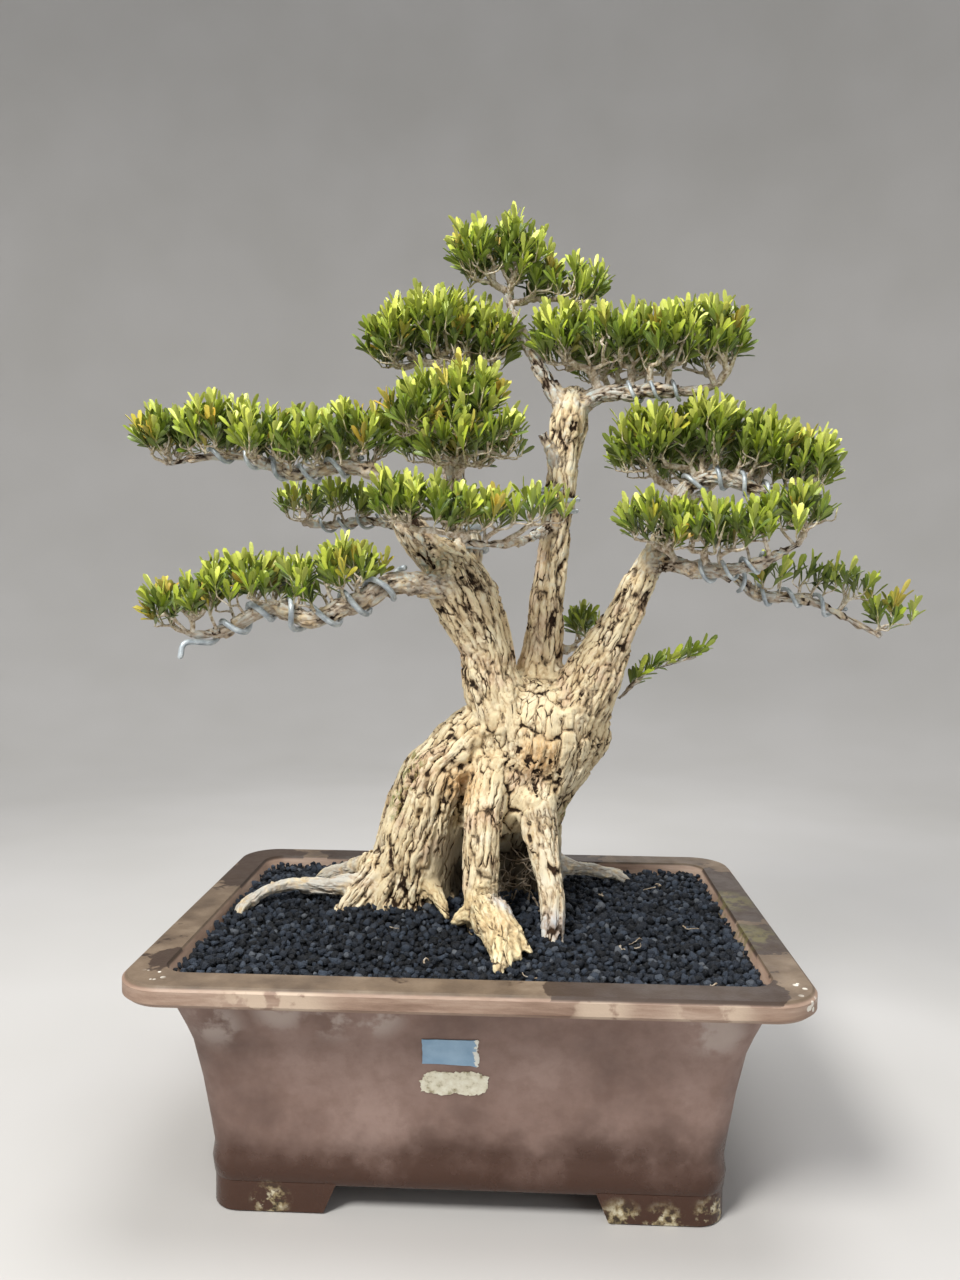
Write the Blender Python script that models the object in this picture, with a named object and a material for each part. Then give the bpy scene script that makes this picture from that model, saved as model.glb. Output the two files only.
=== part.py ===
"""Boxwood bonsai in its rectangular unglazed clay pot.

Metres, +Z up. The pot stands on four L-shaped feet on the plane z = 0. Every point below is given
from the middle of the pot, and the whole model is then moved by MODEL_SHIFT, so that the origin lies
under the middle of the outline of tree and pot together. +X is the viewer's right, -Y faces the viewer.
"""
import math
import random

import bmesh
import bpy
import numpy as np
from mathutils import Vector
from mathutils.bvhtree import BVHTree

# Driving dimensions of the pot
POT_HEIGHT = 0.180
RIM_LENGTH = 0.460
RIM_DEPTH = 0.336
LIP_HEIGHT = 0.0145
RIM_TOP_WIDTH = 0.0255
BODY_BOTTOM = 0.020
FLOOR_TOP = 0.032
FOOT_REACH = 0.180
FOOT_CORNER = 0.020
FOOT_FRONT_ARM = 0.090
FOOT_SIDE_ARM = 0.064
FOOT_WIDTH = 0.022
FOOT_SLANT = 0.009
DRAIN_X = 0.090
DRAIN_RADIUS = 0.011
SCREEN_SIZE = 0.036
SCREEN_THICKNESS = 0.0012
LABEL_THICKNESS = 0.0006

# Driving dimensions of the soil: its cells, the height of their bumps and the mound round the trunk
SOIL_TOP = 0.173
SOIL_RELIEF = 0.0028
SOIL_CELL = 0.0260
MOUND_MIDDLE = (-0.010, 0.060)
MOUND_HEIGHT = 0.004
MOUND_WIDTH = 0.077

# Driving dimensions of leaves and twigs. A whorl is the ring of leaves at a twig's tip
LEAF_LENGTH = 0.019
LEAF_WIDTH = 0.0058
LEAF_WIDEST = 0.66
LEAF_TILT = (0.75, 1.15)
WHORL_CROWN = 0.0023
WHORL_NOTCH = 0.0021
WHORL_REACH = 0.0125
WHORL_SPREAD = 0.0037
WHORL_HIGHEST = 0.95
WHORL_LOWEST = -0.40
WHORL_UPWARD = 0.25
SHORTEST_TWIG = 0.006
TWIG_FOOT = 0.0012
SPINE_RADIUS = 0.0027
CARRIER_RADIUS = 0.0019
SPROUT_SHOOT = 0.004

# Room between pieces that touch or nearly touch: a standing gap, and what leaves keep to wood and
# wires, to other sprays, and twigs to the wire beside their foot
GAP = 0.0003
FINE_GAP = 0.0001
WIRE_GAP = 0.0006
ROOM_FIXED = 0.0028
ROOM_MOVING = 0.0062
ROOM_WIRE = 0.0045
SEAT_STEP = 0.0001
SEAT_RISES = (0.0, 0.0007, 0.0015, 0.003, 0.005, 0.008)
SEAT_SHARES = (0.0, 0.25, 0.5, 0.75)
MODEL_SHIFT = (-0.033, 0.0, 0.0)

# The plan is a rectangle: its half depth is its half length less this
PLAN_DIFFERENCE = (RIM_LENGTH - RIM_DEPTH) / 2
LIP_BOTTOM = POT_HEIGHT - LIP_HEIGHT
RIM_HALF = RIM_LENGTH / 2
MOUTH_HALF = RIM_HALF - RIM_TOP_WIDTH

# Wall outside, bottom to top: half length, height, corner radius
POT_OUTSIDE = (
    (0.1785, BODY_BOTTOM, 0.018),
    (0.1806, 0.0235, 0.020),
    (0.1818, 0.0335, 0.021),
    (0.1803, 0.0445, 0.020),
    (0.1826, 0.0620, 0.021),
    (0.1870, 0.0940, 0.022),
    (0.1923, 0.1230, 0.023),
    (0.1966, 0.1360, 0.024),
    (0.2045, 0.1570, 0.026),
    (0.2090, LIP_BOTTOM - 0.001, 0.027),
    (RIM_HALF - 0.003, LIP_BOTTOM, 0.031),
    (RIM_HALF, LIP_BOTTOM + 0.003, 0.033),
    (RIM_HALF, POT_HEIGHT - 0.003, 0.033),
    (RIM_HALF - 0.003, POT_HEIGHT, 0.031),
)
# Wall inside, top to bottom
POT_INSIDE = (
    (MOUTH_HALF, POT_HEIGHT, 0.018),
    (MOUTH_HALF - 0.0015, POT_HEIGHT - 0.0025, 0.017),
    (0.1915, 0.1500, 0.016),
    (0.1780, 0.1000, 0.015),
    (0.1705, 0.0500, 0.014),
    (0.1660, FLOOR_TOP, 0.012),
)

# Trunk masses as level rings: height, middle x, middle y, half width, half depth
LEFT_MASS = (
    (0.138, -0.061, 0.066, 0.044, 0.048),
    (0.172, -0.063, 0.067, 0.049, 0.055),
    (0.204, -0.054, 0.064, 0.040, 0.050),
    (0.247, -0.043, 0.060, 0.038, 0.046),
    (0.286, -0.029, 0.056, 0.038, 0.042),
    (0.314, -0.008, 0.053, 0.034, 0.038),
    (0.336, 0.012, 0.050, 0.028, 0.030),
)
BACK_MASS = (
    (0.138, 0.030, 0.086, 0.042, 0.028),
    (0.172, 0.028, 0.092, 0.047, 0.033),
    (0.208, 0.026, 0.088, 0.046, 0.032),
    (0.240, 0.028, 0.078, 0.044, 0.034),
    (0.268, 0.032, 0.068, 0.040, 0.034),
)
UPPER_TRUNK = (
    (0.236, 0.022, 0.060, 0.048, 0.040),
    (0.262, 0.028, 0.057, 0.053, 0.046),
    (0.290, 0.041, 0.054, 0.058, 0.047),
    (0.314, 0.048, 0.051, 0.062, 0.046),
    (0.336, 0.048, 0.049, 0.058, 0.041),
    (0.354, 0.050, 0.048, 0.040, 0.030),
    (0.366, 0.051, 0.048, 0.016, 0.012),
)

# Wood routes: points x, y, z with the radius in millimetres, from the thick end to the tip
LIMBS = {
    "limb_left": ((0.022, 0.038, 0.328, 31), (0.010, 0.032, 0.362, 24), (0.006, 0.030, 0.388, 22),
                  (-0.003, 0.026, 0.410, 25), (-0.012, 0.022, 0.430, 28), (-0.023, 0.020, 0.449, 25),
                  (-0.033, 0.019, 0.463, 17)),
    "limb_left_outer": ((-0.030, 0.020, 0.455, 17), (-0.049, 0.015, 0.475, 14), (-0.062, 0.012, 0.495, 11),
                        (-0.070, 0.010, 0.513, 9), (-0.081, 0.008, 0.527, 7), (-0.090, 0.006, 0.531, 6.5)),
    "limb_left_inner": ((-0.020, 0.022, 0.438, 17), (-0.011, 0.030, 0.466, 14), (-0.015, 0.040, 0.493, 11),
                        (-0.021, 0.046, 0.526, 9), (-0.026, 0.048, 0.559, 7), (-0.030, 0.046, 0.596, 5)),
    "limb_centre": ((0.050, 0.050, 0.333, 26), (0.051, 0.050, 0.366, 20), (0.054, 0.048, 0.400, 15.5),
                    (0.057, 0.046, 0.440, 14), (0.061, 0.045, 0.478, 13), (0.065, 0.043, 0.515, 13.5),
                    (0.068, 0.041, 0.550, 14), (0.072, 0.040, 0.576, 15), (0.074, 0.040, 0.592, 12)),
    "limb_right": ((0.062, 0.042, 0.315, 34), (0.087, 0.036, 0.353, 28), (0.101, 0.030, 0.383, 20.5),
                   (0.114, 0.024, 0.410, 15.5), (0.124, 0.018, 0.432, 13.5), (0.134, 0.012, 0.454, 11.5),
                   (0.144, 0.010, 0.474, 9.5)),
    "leg_centre": ((0.014, 0.026, 0.292, 20), (0.007, 0.008, 0.264, 16.5), (0.005, -0.005, 0.238, 15),
                   (0.005, -0.014, 0.208, 14.5), (0.005, -0.020, 0.180, 13), (0.006, -0.024, 0.150, 8)),
    "leg_right": ((0.044, 0.030, 0.280, 20), (0.050, 0.012, 0.248, 15), (0.055, -0.006, 0.220, 11.5),
                  (0.060, -0.025, 0.196, 9.5), (0.060, -0.037, 0.173, 9), (0.059, -0.046, 0.152, 7)),
    "stump": ((0.002, -0.022, 0.188, 14), (0.009, -0.044, 0.184, 21), (0.018, -0.074, 0.177, 18),
              (0.021, -0.100, 0.168, 12), (0.021, -0.114, 0.158, 7)),
    "root_left": ((-0.086, 0.046, 0.188, 13), (-0.112, 0.050, 0.187, 9), (-0.140, 0.051, 0.186, 6.5),
                  (-0.164, 0.045, 0.184, 5.5), (-0.181, 0.024, 0.181, 5), (-0.191, 0.002, 0.175, 4.5),
                  (-0.190, -0.008, 0.162, 3)),
    "root_toe": ((-0.080, 0.046, 0.200, 16), (-0.098, 0.030, 0.180, 12), (-0.110, 0.018, 0.160, 7)),
    "root_back_left": ((-0.092, 0.078, 0.192, 14), (-0.118, 0.094, 0.182, 9), (-0.140, 0.104, 0.174, 6.5),
                       (-0.152, 0.108, 0.162, 4)),
    "root_back_right": ((0.056, 0.088, 0.194, 14), (0.080, 0.098, 0.187, 8), (0.106, 0.104, 0.183, 6),
                        (0.128, 0.107, 0.176, 5), (0.140, 0.108, 0.164, 3)),
    "stub_centre": ((0.064, 0.036, 0.533, 6), (0.055, 0.030, 0.553, 4.6), (0.050, 0.028, 0.562, 4)),
}
BRANCHES = {
    "left_middle": ((-0.078, 0.008, 0.526, 7), (-0.102, 0.004, 0.532, 6), (-0.121, 0.000, 0.529, 5.5),
                    (-0.142, -0.002, 0.525, 5), (-0.167, 0.000, 0.533, 4.5), (-0.191, 0.002, 0.541, 4),
                    (-0.212, 0.000, 0.539, 3.6), (-0.230, -0.002, 0.536, 3.2), (-0.247, 0.000, 0.533, 2.8)),
    "left_low": ((-0.016, 0.014, 0.436, 13), (-0.050, -0.011, 0.440, 9.5), (-0.068, -0.022, 0.439, 9),
                 (-0.085, -0.028, 0.428, 8.5), (-0.104, -0.030, 0.421, 8), (-0.125, -0.032, 0.411, 7.5),
                 (-0.141, -0.033, 0.417, 7), (-0.157, -0.034, 0.421, 6.5), (-0.174, -0.036, 0.412, 5.5),
                 (-0.193, -0.038, 0.402, 4.5), (-0.215, -0.040, 0.400, 3.5)),
    "left_back": ((-0.058, 0.014, 0.488, 7), (-0.080, 0.048, 0.491, 4.5), (-0.108, 0.068, 0.493, 4),
                  (-0.133, 0.080, 0.490, 3.5), (-0.156, 0.085, 0.493, 3)),
    "apex": ((0.070, 0.040, 0.578, 8), (0.052, 0.038, 0.608, 6.5), (0.038, 0.036, 0.632, 5.5),
             (0.026, 0.035, 0.655, 4.5), (0.021, 0.034, 0.672, 3.5)),
    "crown_right": ((0.072, 0.040, 0.579, 9), (0.093, 0.034, 0.593, 7.5), (0.118, 0.026, 0.594, 6.5),
                    (0.142, 0.020, 0.595, 5.5), (0.167, 0.016, 0.593, 4.5), (0.187, 0.014, 0.598, 3.5)),
    "front": ((0.060, 0.040, 0.490, 6), (0.044, 0.012, 0.479, 4.5), (0.030, -0.010, 0.473, 3.8),
              (0.012, -0.032, 0.470, 3.3), (-0.006, -0.042, 0.470, 3)),
    "right_middle": ((0.139, 0.011, 0.464, 10), (0.153, 0.018, 0.496, 8), (0.163, 0.020, 0.516, 7),
                     (0.180, 0.014, 0.526, 6.5), (0.203, 0.010, 0.522, 6), (0.226, 0.008, 0.513, 5),
                     (0.248, 0.008, 0.508, 4), (0.266, 0.009, 0.506, 3)),
    "right_front": ((0.134, 0.012, 0.456, 9), (0.152, -0.010, 0.456, 7), (0.169, -0.030, 0.451, 6),
                    (0.194, -0.040, 0.453, 5), (0.216, -0.044, 0.460, 4), (0.236, -0.045, 0.471, 3)),
    "right_low": ((0.160, -0.020, 0.453, 6.5), (0.190, 0.000, 0.452, 5.5), (0.207, 0.010, 0.444, 5.2),
                  (0.220, 0.014, 0.434, 5), (0.238, 0.014, 0.432, 4.6), (0.259, 0.012, 0.430, 4.2),
                  (0.280, 0.010, 0.421, 3.6), (0.300, 0.008, 0.410, 3), (0.314, 0.006, 0.403, 2.4)),
    "back_left": ((-0.018, 0.042, 0.506, 8), (-0.026, 0.080, 0.524, 5), (-0.032, 0.104, 0.534, 4),
                  (-0.036, 0.118, 0.540, 3)),
    "back_right": ((0.148, 0.014, 0.484, 8), (0.168, 0.056, 0.503, 5.5), (0.186, 0.092, 0.517, 4.5),
                   (0.198, 0.112, 0.524, 3.5)),
    "back_crown": ((0.070, 0.042, 0.570, 8), (0.088, 0.072, 0.594, 5), (0.106, 0.096, 0.610, 4),
                   (0.120, 0.110, 0.616, 3)),
    "back_low": ((0.056, 0.052, 0.392, 8), (0.070, 0.080, 0.384, 4.5), (0.082, 0.094, 0.385, 3.5)),
}
SPROUT = ((0.116, 0.044, 0.345, 2.2), (0.129, 0.040, 0.360, 1.9), (0.144, 0.037, 0.371, 1.6),
          (0.161, 0.034, 0.377, 1.4), (0.176, 0.032, 0.383, 1.2))

# Foliage lobes out to the leaf tips: middle x, y, z and half sizes in x, y, z in millimetres,
# after the name of the branch that carries the spray
SPRAYS = {
    "left_middle": ("left_middle", ((-0.250, 0.002, 0.558, 23, 33, 24), (-0.211, 0.000, 0.562, 27, 38, 24),
                                    (-0.170, 0.000, 0.557, 27, 40, 27), (-0.131, 0.002, 0.552, 28, 40, 28),
                                    (-0.094, 0.004, 0.557, 27, 38, 25))),
    "left_low": ("left_low", ((-0.234, -0.042, 0.424, 21, 30, 21), (-0.203, -0.037, 0.431, 25, 36, 22),
                              (-0.168, -0.034, 0.445, 26, 38, 22), (-0.131, -0.032, 0.440, 26, 38, 23),
                              (-0.096, -0.028, 0.453, 26, 38, 21))),
    "left_back": ("left_back", ((-0.158, 0.090, 0.513, 26, 32, 20), (-0.116, 0.078, 0.514, 26, 30, 20))),
    "crown_left": ("limb_left_inner", ((-0.072, 0.040, 0.640, 27, 36, 29), (-0.034, 0.044, 0.650, 31, 40, 31),
                                       (0.004, 0.048, 0.642, 28, 38, 28))),
    "centre_left": ("limb_left_inner", ((-0.046, -0.006, 0.578, 29, 32, 27),
                                        (-0.008, -0.006, 0.586, 30, 32, 28),
                                        (-0.022, -0.018, 0.550, 31, 30, 24),
                                        (0.016, -0.014, 0.556, 24, 28, 24))),
    "centre_front": ("front", ((-0.056, -0.050, 0.504, 24, 30, 22), (-0.022, -0.058, 0.497, 25, 31, 22),
                               (0.010, -0.058, 0.492, 25, 31, 21), (0.044, -0.050, 0.498, 27, 28, 18))),
    "apex": ("apex", ((-0.004, 0.034, 0.706, 24, 32, 27), (0.020, 0.036, 0.713, 27, 34, 27),
                      (0.040, 0.036, 0.690, 26, 32, 24), (0.080, 0.038, 0.682, 27, 29, 21))),
    "crown_right": ("crown_right", ((0.066, 0.024, 0.638, 27, 32, 27), (0.106, 0.024, 0.636, 29, 38, 28),
                                    (0.146, 0.020, 0.632, 29, 40, 28), (0.184, 0.016, 0.638, 26, 36, 31))),
    "right_middle": ("right_middle", ((0.134, 0.028, 0.554, 30, 34, 31), (0.176, 0.022, 0.560, 31, 38, 30),
                                      (0.215, 0.020, 0.554, 31, 40, 28), (0.252, 0.014, 0.538, 29, 36, 27))),
    "right_front": ("right_front", ((0.132, -0.036, 0.490, 26, 28, 22), (0.165, -0.050, 0.483, 29, 32, 24),
                                    (0.200, -0.052, 0.485, 29, 32, 23), (0.234, -0.048, 0.498, 25, 28, 20))),
    "right_low": ("right_low", ((0.232, 0.016, 0.454, 22, 25, 18), (0.262, 0.014, 0.451, 22, 26, 18),
                                (0.291, 0.012, 0.444, 22, 26, 18))),
    "right_tip": ("right_low", ((0.320, 0.006, 0.423, 19, 24, 21),)),
    "back_left": ("back_left", ((-0.050, 0.118, 0.572, 33, 33, 28), (-0.012, 0.122, 0.568, 31, 31, 27))),
    "back_right": ("back_right", ((0.178, 0.116, 0.552, 33, 33, 27), (0.216, 0.116, 0.556, 31, 31, 26))),
    "back_crown": ("back_crown", ((0.102, 0.108, 0.643, 31, 33, 26), (0.140, 0.112, 0.645, 31, 31, 25))),
    "back_low": ("back_low", ((0.088, 0.100, 0.407, 21, 26, 19),)),
}

# Training wires: the wood they are wound on, start and end along it from 0 to 1, the number of
# straight steps from one corner line of the wood to the next, and the wire's radius
WIRES = {
    "left_low": ("left_low", 0.22, 0.96, 40, 0.0023),
    "left_middle": ("left_middle", 0.10, 0.80, 30, 0.0018),
    "left_back": ("left_back", 0.42, 0.90, 18, 0.0013),
    "limb_left": ("limb_left_inner", 0.18, 0.36, 20, 0.0023),
    "limb_centre": ("limb_centre", 0.645, 0.715, 20, 0.0018),
    "right_middle": ("right_middle", 0.38, 0.84, 24, 0.0018),
    "right_front": ("right_front", 0.42, 0.80, 18, 0.0015),
    "right_low": ("right_low", 0.28, 0.82, 24, 0.0017),
    "crown_right": ("crown_right", 0.42, 0.76, 15, 0.0015),
}
WIRE_TAIL = ((-0.217, -0.049, 0.394), (-0.220, -0.052, 0.384))

# Sticker outlines as x and height
LABEL_OUTLINE = ((-0.029, 0.1160), (0.0085, 0.1150), (0.0095, 0.1200), (0.0085, 0.1265), (0.0090, 0.1355),
                 (-0.029, 0.1350))
RESIDUE_OUTLINE = ((-0.030, 0.0950), (-0.018, 0.0925), (-0.004, 0.0935), (0.008, 0.0925), (0.014, 0.0960),
                   (0.016, 0.1060), (0.006, 0.1105), (-0.010, 0.1095), (-0.024, 0.1100), (-0.031, 0.1030))

# Sides and steps of the facets
RIDGE_SIDES = {"left": 20, "back": 12, "upper": 18}
RIDGE_DEPTH = {"left": 0.085, "back": 0.075, "upper": 0.070}
RIDGE_WAVE = 70
RING_STEP = 0.035
CORNER_STEPS = 3
LIMB_SIDES = 10
ROOT_SIDES = 6
FURROW = 0.86
WOOD_SIDES = 6
WOOD_STEP = 0.030
TWIG_SIDES = 3
SPINE_SIDES = 4
WIRE_SIDES = 3
DRAIN_SIDES = 14


def clear_scene():
    for item in list(bpy.data.objects):
        bpy.data.objects.remove(item, do_unlink=True)


def finish_material(name, colour, roughness, metallic=0.0):
    found = bpy.data.materials.new(name)
    found.use_nodes = True
    shader = found.node_tree.nodes["Principled BSDF"]
    shader.inputs["Base Color"].default_value = (*colour, 1.0)
    shader.inputs["Roughness"].default_value = roughness
    shader.inputs["Metallic"].default_value = metallic
    return found


def add_object(name, vertices, faces, material=None):
    """A mesh object of triangles with its faces pointing out."""
    mesh = bpy.data.meshes.new(name)
    mesh.from_pydata([tuple(float(c) for c in v) for v in vertices], [], faces)
    shape = bmesh.new()
    shape.from_mesh(mesh)
    bmesh.ops.triangulate(shape, faces=shape.faces)
    bmesh.ops.recalc_face_normals(shape, faces=shape.faces)
    shape.to_mesh(mesh)
    shape.free()
    made = bpy.data.objects.new(name, mesh)
    bpy.context.scene.collection.objects.link(made)
    if material:
        mesh.materials.append(material)
    return made


def loft(rings):
    """Vertices and faces of a closed skin over rings of equal length, with flat ends."""
    count = len(rings[0])
    vertices = [point for ring in rings for point in ring]
    faces = []
    for level in range(len(rings) - 1):
        low = level * count
        for i in range(count):
            j = (i + 1) % count
            faces.append((low + i, low + j, low + count + j, low + count + i))
    top = (len(rings) - 1) * count
    faces.append(tuple(range(count))[::-1])
    faces.append(tuple(top + i for i in range(count)))
    return vertices, faces


def apply_boolean(target, tools, operation, solver="EXACT"):
    """Cut or join the tools into the target in one step, then remove them."""
    group = bpy.data.collections.new(target.name + "_tools")
    bpy.context.scene.collection.children.link(group)
    for tool in tools:
        bpy.context.scene.collection.objects.unlink(tool)
        group.objects.link(tool)
    step = target.modifiers.new("join", "BOOLEAN")
    step.operation = operation
    step.operand_type = "COLLECTION"
    step.collection = group
    step.solver = solver
    bpy.context.view_layer.update()
    graph = bpy.context.evaluated_depsgraph_get()
    result = bpy.data.meshes.new_from_object(target.evaluated_get(graph))
    target.modifiers.remove(step)
    target.data = result
    for tool in list(group.objects):
        bpy.data.objects.remove(tool, do_unlink=True)
    bpy.data.collections.remove(group)
    return target


def keep_largest(target):
    """Drop the loose scraps that a union leaves beside the main body."""
    shape = bmesh.new()
    shape.from_mesh(target.data)
    left = set(shape.verts)
    islands = []
    while left:
        stack = [left.pop()]
        island = set(stack)
        while stack:
            for edge in stack.pop().link_edges:
                for vertex in edge.verts:
                    if vertex in left:
                        left.discard(vertex)
                        island.add(vertex)
                        stack.append(vertex)
        islands.append(island)
    islands.sort(key=len)
    for island in islands[:-1]:
        bmesh.ops.delete(shape, geom=list(island), context="VERTS")
    shape.to_mesh(target.data)
    shape.free()


def route(points, step=WOOD_STEP):
    """Rows of x, y, z, radius in metres on a smooth curve through the points."""
    rows = np.array(points, dtype=float)
    rows[:, 3] *= 0.001
    rows = np.vstack([2 * rows[0] - rows[1], rows, 2 * rows[-1] - rows[-2]])
    samples = []
    for a, b, c, d in zip(rows, rows[1:], rows[2:], rows[3:]):
        pieces = max(1, round(np.linalg.norm(c[:3] - b[:3]) / step))
        for t in np.arange(pieces) / pieces:
            curve = 2 * b + (c - a) * t + (2 * a - 5 * b + 4 * c - d) * t ** 2
            samples.append(0.5 * (curve + (3 * b - a - 3 * c + d) * t ** 3))
    samples.append(rows[-2])
    return np.array(samples)


def frames(path):
    """Unit vectors along, across and off the path: the off vector is its highest side."""
    along = np.gradient(path[:, :3], axis=0)
    along /= np.linalg.norm(along, axis=1)[:, None]
    upright = abs(path[-1, 2] - path[0, 2]) > 0.75 * np.linalg.norm(path[-1, :3] - path[0, :3])
    reference = np.array((0.0, -1.0, 0.0) if upright else (0.0, 0.0, 1.0))
    across = np.cross(along, reference)
    across /= np.linalg.norm(across, axis=1)[:, None]
    return along, across, np.cross(across, along)


def tube(path, sides, grow=0.0, furrow=1.0):
    """Closed skin round a path of x, y, z, radius, with a corner line along its highest side.

    Every second corner line is drawn in by the furrow, as a fraction of the radius.
    """
    along, across, off = frames(path)
    rings = []
    for row, side, normal in zip(path, across, off):
        ring = []
        for k in range(sides):
            angle = 2 * math.pi * k / sides
            radius = row[3] * (furrow if k % 2 else 1.0) + grow
            ring.append(row[:3] + radius * (math.cos(angle) * normal + math.sin(angle) * side))
        rings.append(ring)
    return loft(rings)


def ridged_mass(rows, kind, seed, grow=0.0):
    """Trunk mass on level rings whose corners stand out and in by turns, as ridges of bark."""
    draw = random.Random(seed)
    sides = RIDGE_SIDES[kind]
    ridges = [RIDGE_DEPTH[kind] * draw.uniform(0.35, 1.0) for _ in range(sides)]
    phases = [draw.uniform(0, 2 * math.pi) for _ in range(sides)]
    rings = []
    for z, x, y, half_width, half_depth in smooth_rows(rows):
        ring = []
        for k in range(sides):
            angle = 2 * math.pi * k / sides
            wave = 0.65 + 0.35 * math.sin(RIDGE_WAVE * z + phases[k])
            scale = 1 + ridges[k] * wave * (1 if k % 2 else -1)
            ring.append((x + (half_width * scale + grow) * math.cos(angle),
                         y + (half_depth * scale + grow) * math.sin(angle), z))
        rings.append(ring)
    return loft(rings)


def smooth_rows(rows):
    """The level rings with one more in the middle of each step, on a smooth curve."""
    rows = np.array(rows, dtype=float)
    rows = np.vstack([2 * rows[0] - rows[1], rows, 2 * rows[-1] - rows[-2]])
    out = []
    for a, b, c, d in zip(rows, rows[1:], rows[2:], rows[3:]):
        out.append(b)
        if c[0] - b[0] > RING_STEP:
            out.append((9 * (b + c) - a - d) / 16)
    out.append(rows[-2])
    return out


def rounded_rectangle(half_length, z, corner, inset=0.0, corner_steps=CORNER_STEPS):
    half_x = half_length - inset
    half_y = half_length - PLAN_DIFFERENCE - inset
    points = []
    for quarter, (sx, sy) in enumerate(((1, 1), (-1, 1), (-1, -1), (1, -1))):
        for k in range(corner_steps + 1):
            angle = math.pi / 2 * (quarter + k / corner_steps)
            points.append((sx * (half_x - corner) + corner * math.cos(angle),
                           sy * (half_y - corner) + corner * math.sin(angle), z))
    return points


def box(name, low, high):
    corners = [[(low[0], low[1], z), (high[0], low[1], z), (high[0], high[1], z), (low[0], high[1], z)]
               for z in (low[2], high[2])]
    return add_object(name, *loft(corners))


def cylinder(name, x, y, low, high, radius):
    rings = []
    for z in (low, high):
        angles = (2 * math.pi * k / DRAIN_SIDES for k in range(DRAIN_SIDES))
        rings.append([(x + radius * math.cos(a), y + radius * math.sin(a), z) for a in angles])
    return add_object(name, *loft(rings))


def foot(sign_x, sign_y):
    """One L-shaped foot under a corner: its arms are shorter at the ground than at the body."""
    outer_x = FOOT_REACH
    outer_y = outer_x - PLAN_DIFFERENCE
    sunk = 0.0015
    rings = []
    for z, slant in ((0.0, FOOT_SLANT), (BODY_BOTTOM + sunk, 0.0)):
        arm_x = outer_x - FOOT_FRONT_ARM + slant
        arm_y = outer_y - FOOT_SIDE_ARM + slant
        ring = [(arm_x, outer_y)]
        for k in range(CORNER_STEPS, -1, -1):
            angle = math.pi / 2 * k / CORNER_STEPS
            ring.append((outer_x - FOOT_CORNER * (1 - math.cos(angle)),
                         outer_y - FOOT_CORNER * (1 - math.sin(angle))))
        ring.append((outer_x, arm_y))
        ring.append((outer_x - FOOT_WIDTH, arm_y))
        ring.append((outer_x - FOOT_WIDTH, outer_y - FOOT_WIDTH))
        ring.append((arm_x, outer_y - FOOT_WIDTH))
        rings.append([(sign_x * x, sign_y * y, z) for x, y in ring])
    return add_object("foot", *loft(rings))


def build_pot(material):
    rings = [rounded_rectangle(*row) for row in POT_OUTSIDE + POT_INSIDE]
    pot = add_object("pot", *loft(rings), material)
    feet = [foot(sx, sy) for sx in (-1, 1) for sy in (-1, 1)]
    apply_boolean(pot, feet, "UNION")
    drains = [cylinder("drain", side * DRAIN_X, 0.0, BODY_BOTTOM / 2, 2 * FLOOR_TOP, DRAIN_RADIUS)
              for side in (-1, 1)]
    apply_boolean(pot, drains, "DIFFERENCE")
    return pot


def build_screen(name, x, material):
    """Square mesh that keeps the soil in over a drain hole: a thin plate with four openings."""
    low = FLOOR_TOP + GAP
    high = low + SCREEN_THICKNESS
    half = SCREEN_SIZE / 2
    screen = box(name, (x - half, -half, low), (x + half, half, high))
    screen.data.materials.append(material)
    opening = SCREEN_SIZE / 5
    holes = []
    for i in (-1, 1):
        for j in (-1, 1):
            left = x + (i - 0.5) * opening
            front = (j - 0.5) * opening
            holes.append(box("hole", (left, front, low - GAP), (left + opening, front + opening, high + GAP)))
    return apply_boolean(screen, holes, "DIFFERENCE")


def trunk_shells(grow=0.0, only_low=False):
    """Every shell of trunk, limbs and roots; the same shells, grown, cut their holes in the soil."""
    shells = [
        ridged_mass(LEFT_MASS, "left", 11, grow),
        ridged_mass(BACK_MASS, "back", 12, grow),
    ]
    low_names = ("leg_centre", "leg_right", "stump")
    for name, points in LIMBS.items():
        low = name in low_names or name.startswith("root")
        if low or not only_low:
            sides = ROOT_SIDES if name.startswith("root") else LIMB_SIDES
            shells.append(tube(route(points), sides, grow, FURROW))
    if not only_low:
        shells.append(ridged_mass(UPPER_TRUNK, "upper", 13))
        shells.extend(tube(route(points), WOOD_SIDES) for points in BRANCHES.values())
    return shells


def build_trunk(material):
    parts = [add_object("wood", *shell) for shell in trunk_shells()]
    trunk = parts[0]
    trunk.name = "trunk"
    trunk.data.materials.append(material)
    apply_boolean(trunk, parts[1:], "UNION", "MANIFOLD")
    keep_largest(trunk)
    return trunk


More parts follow.
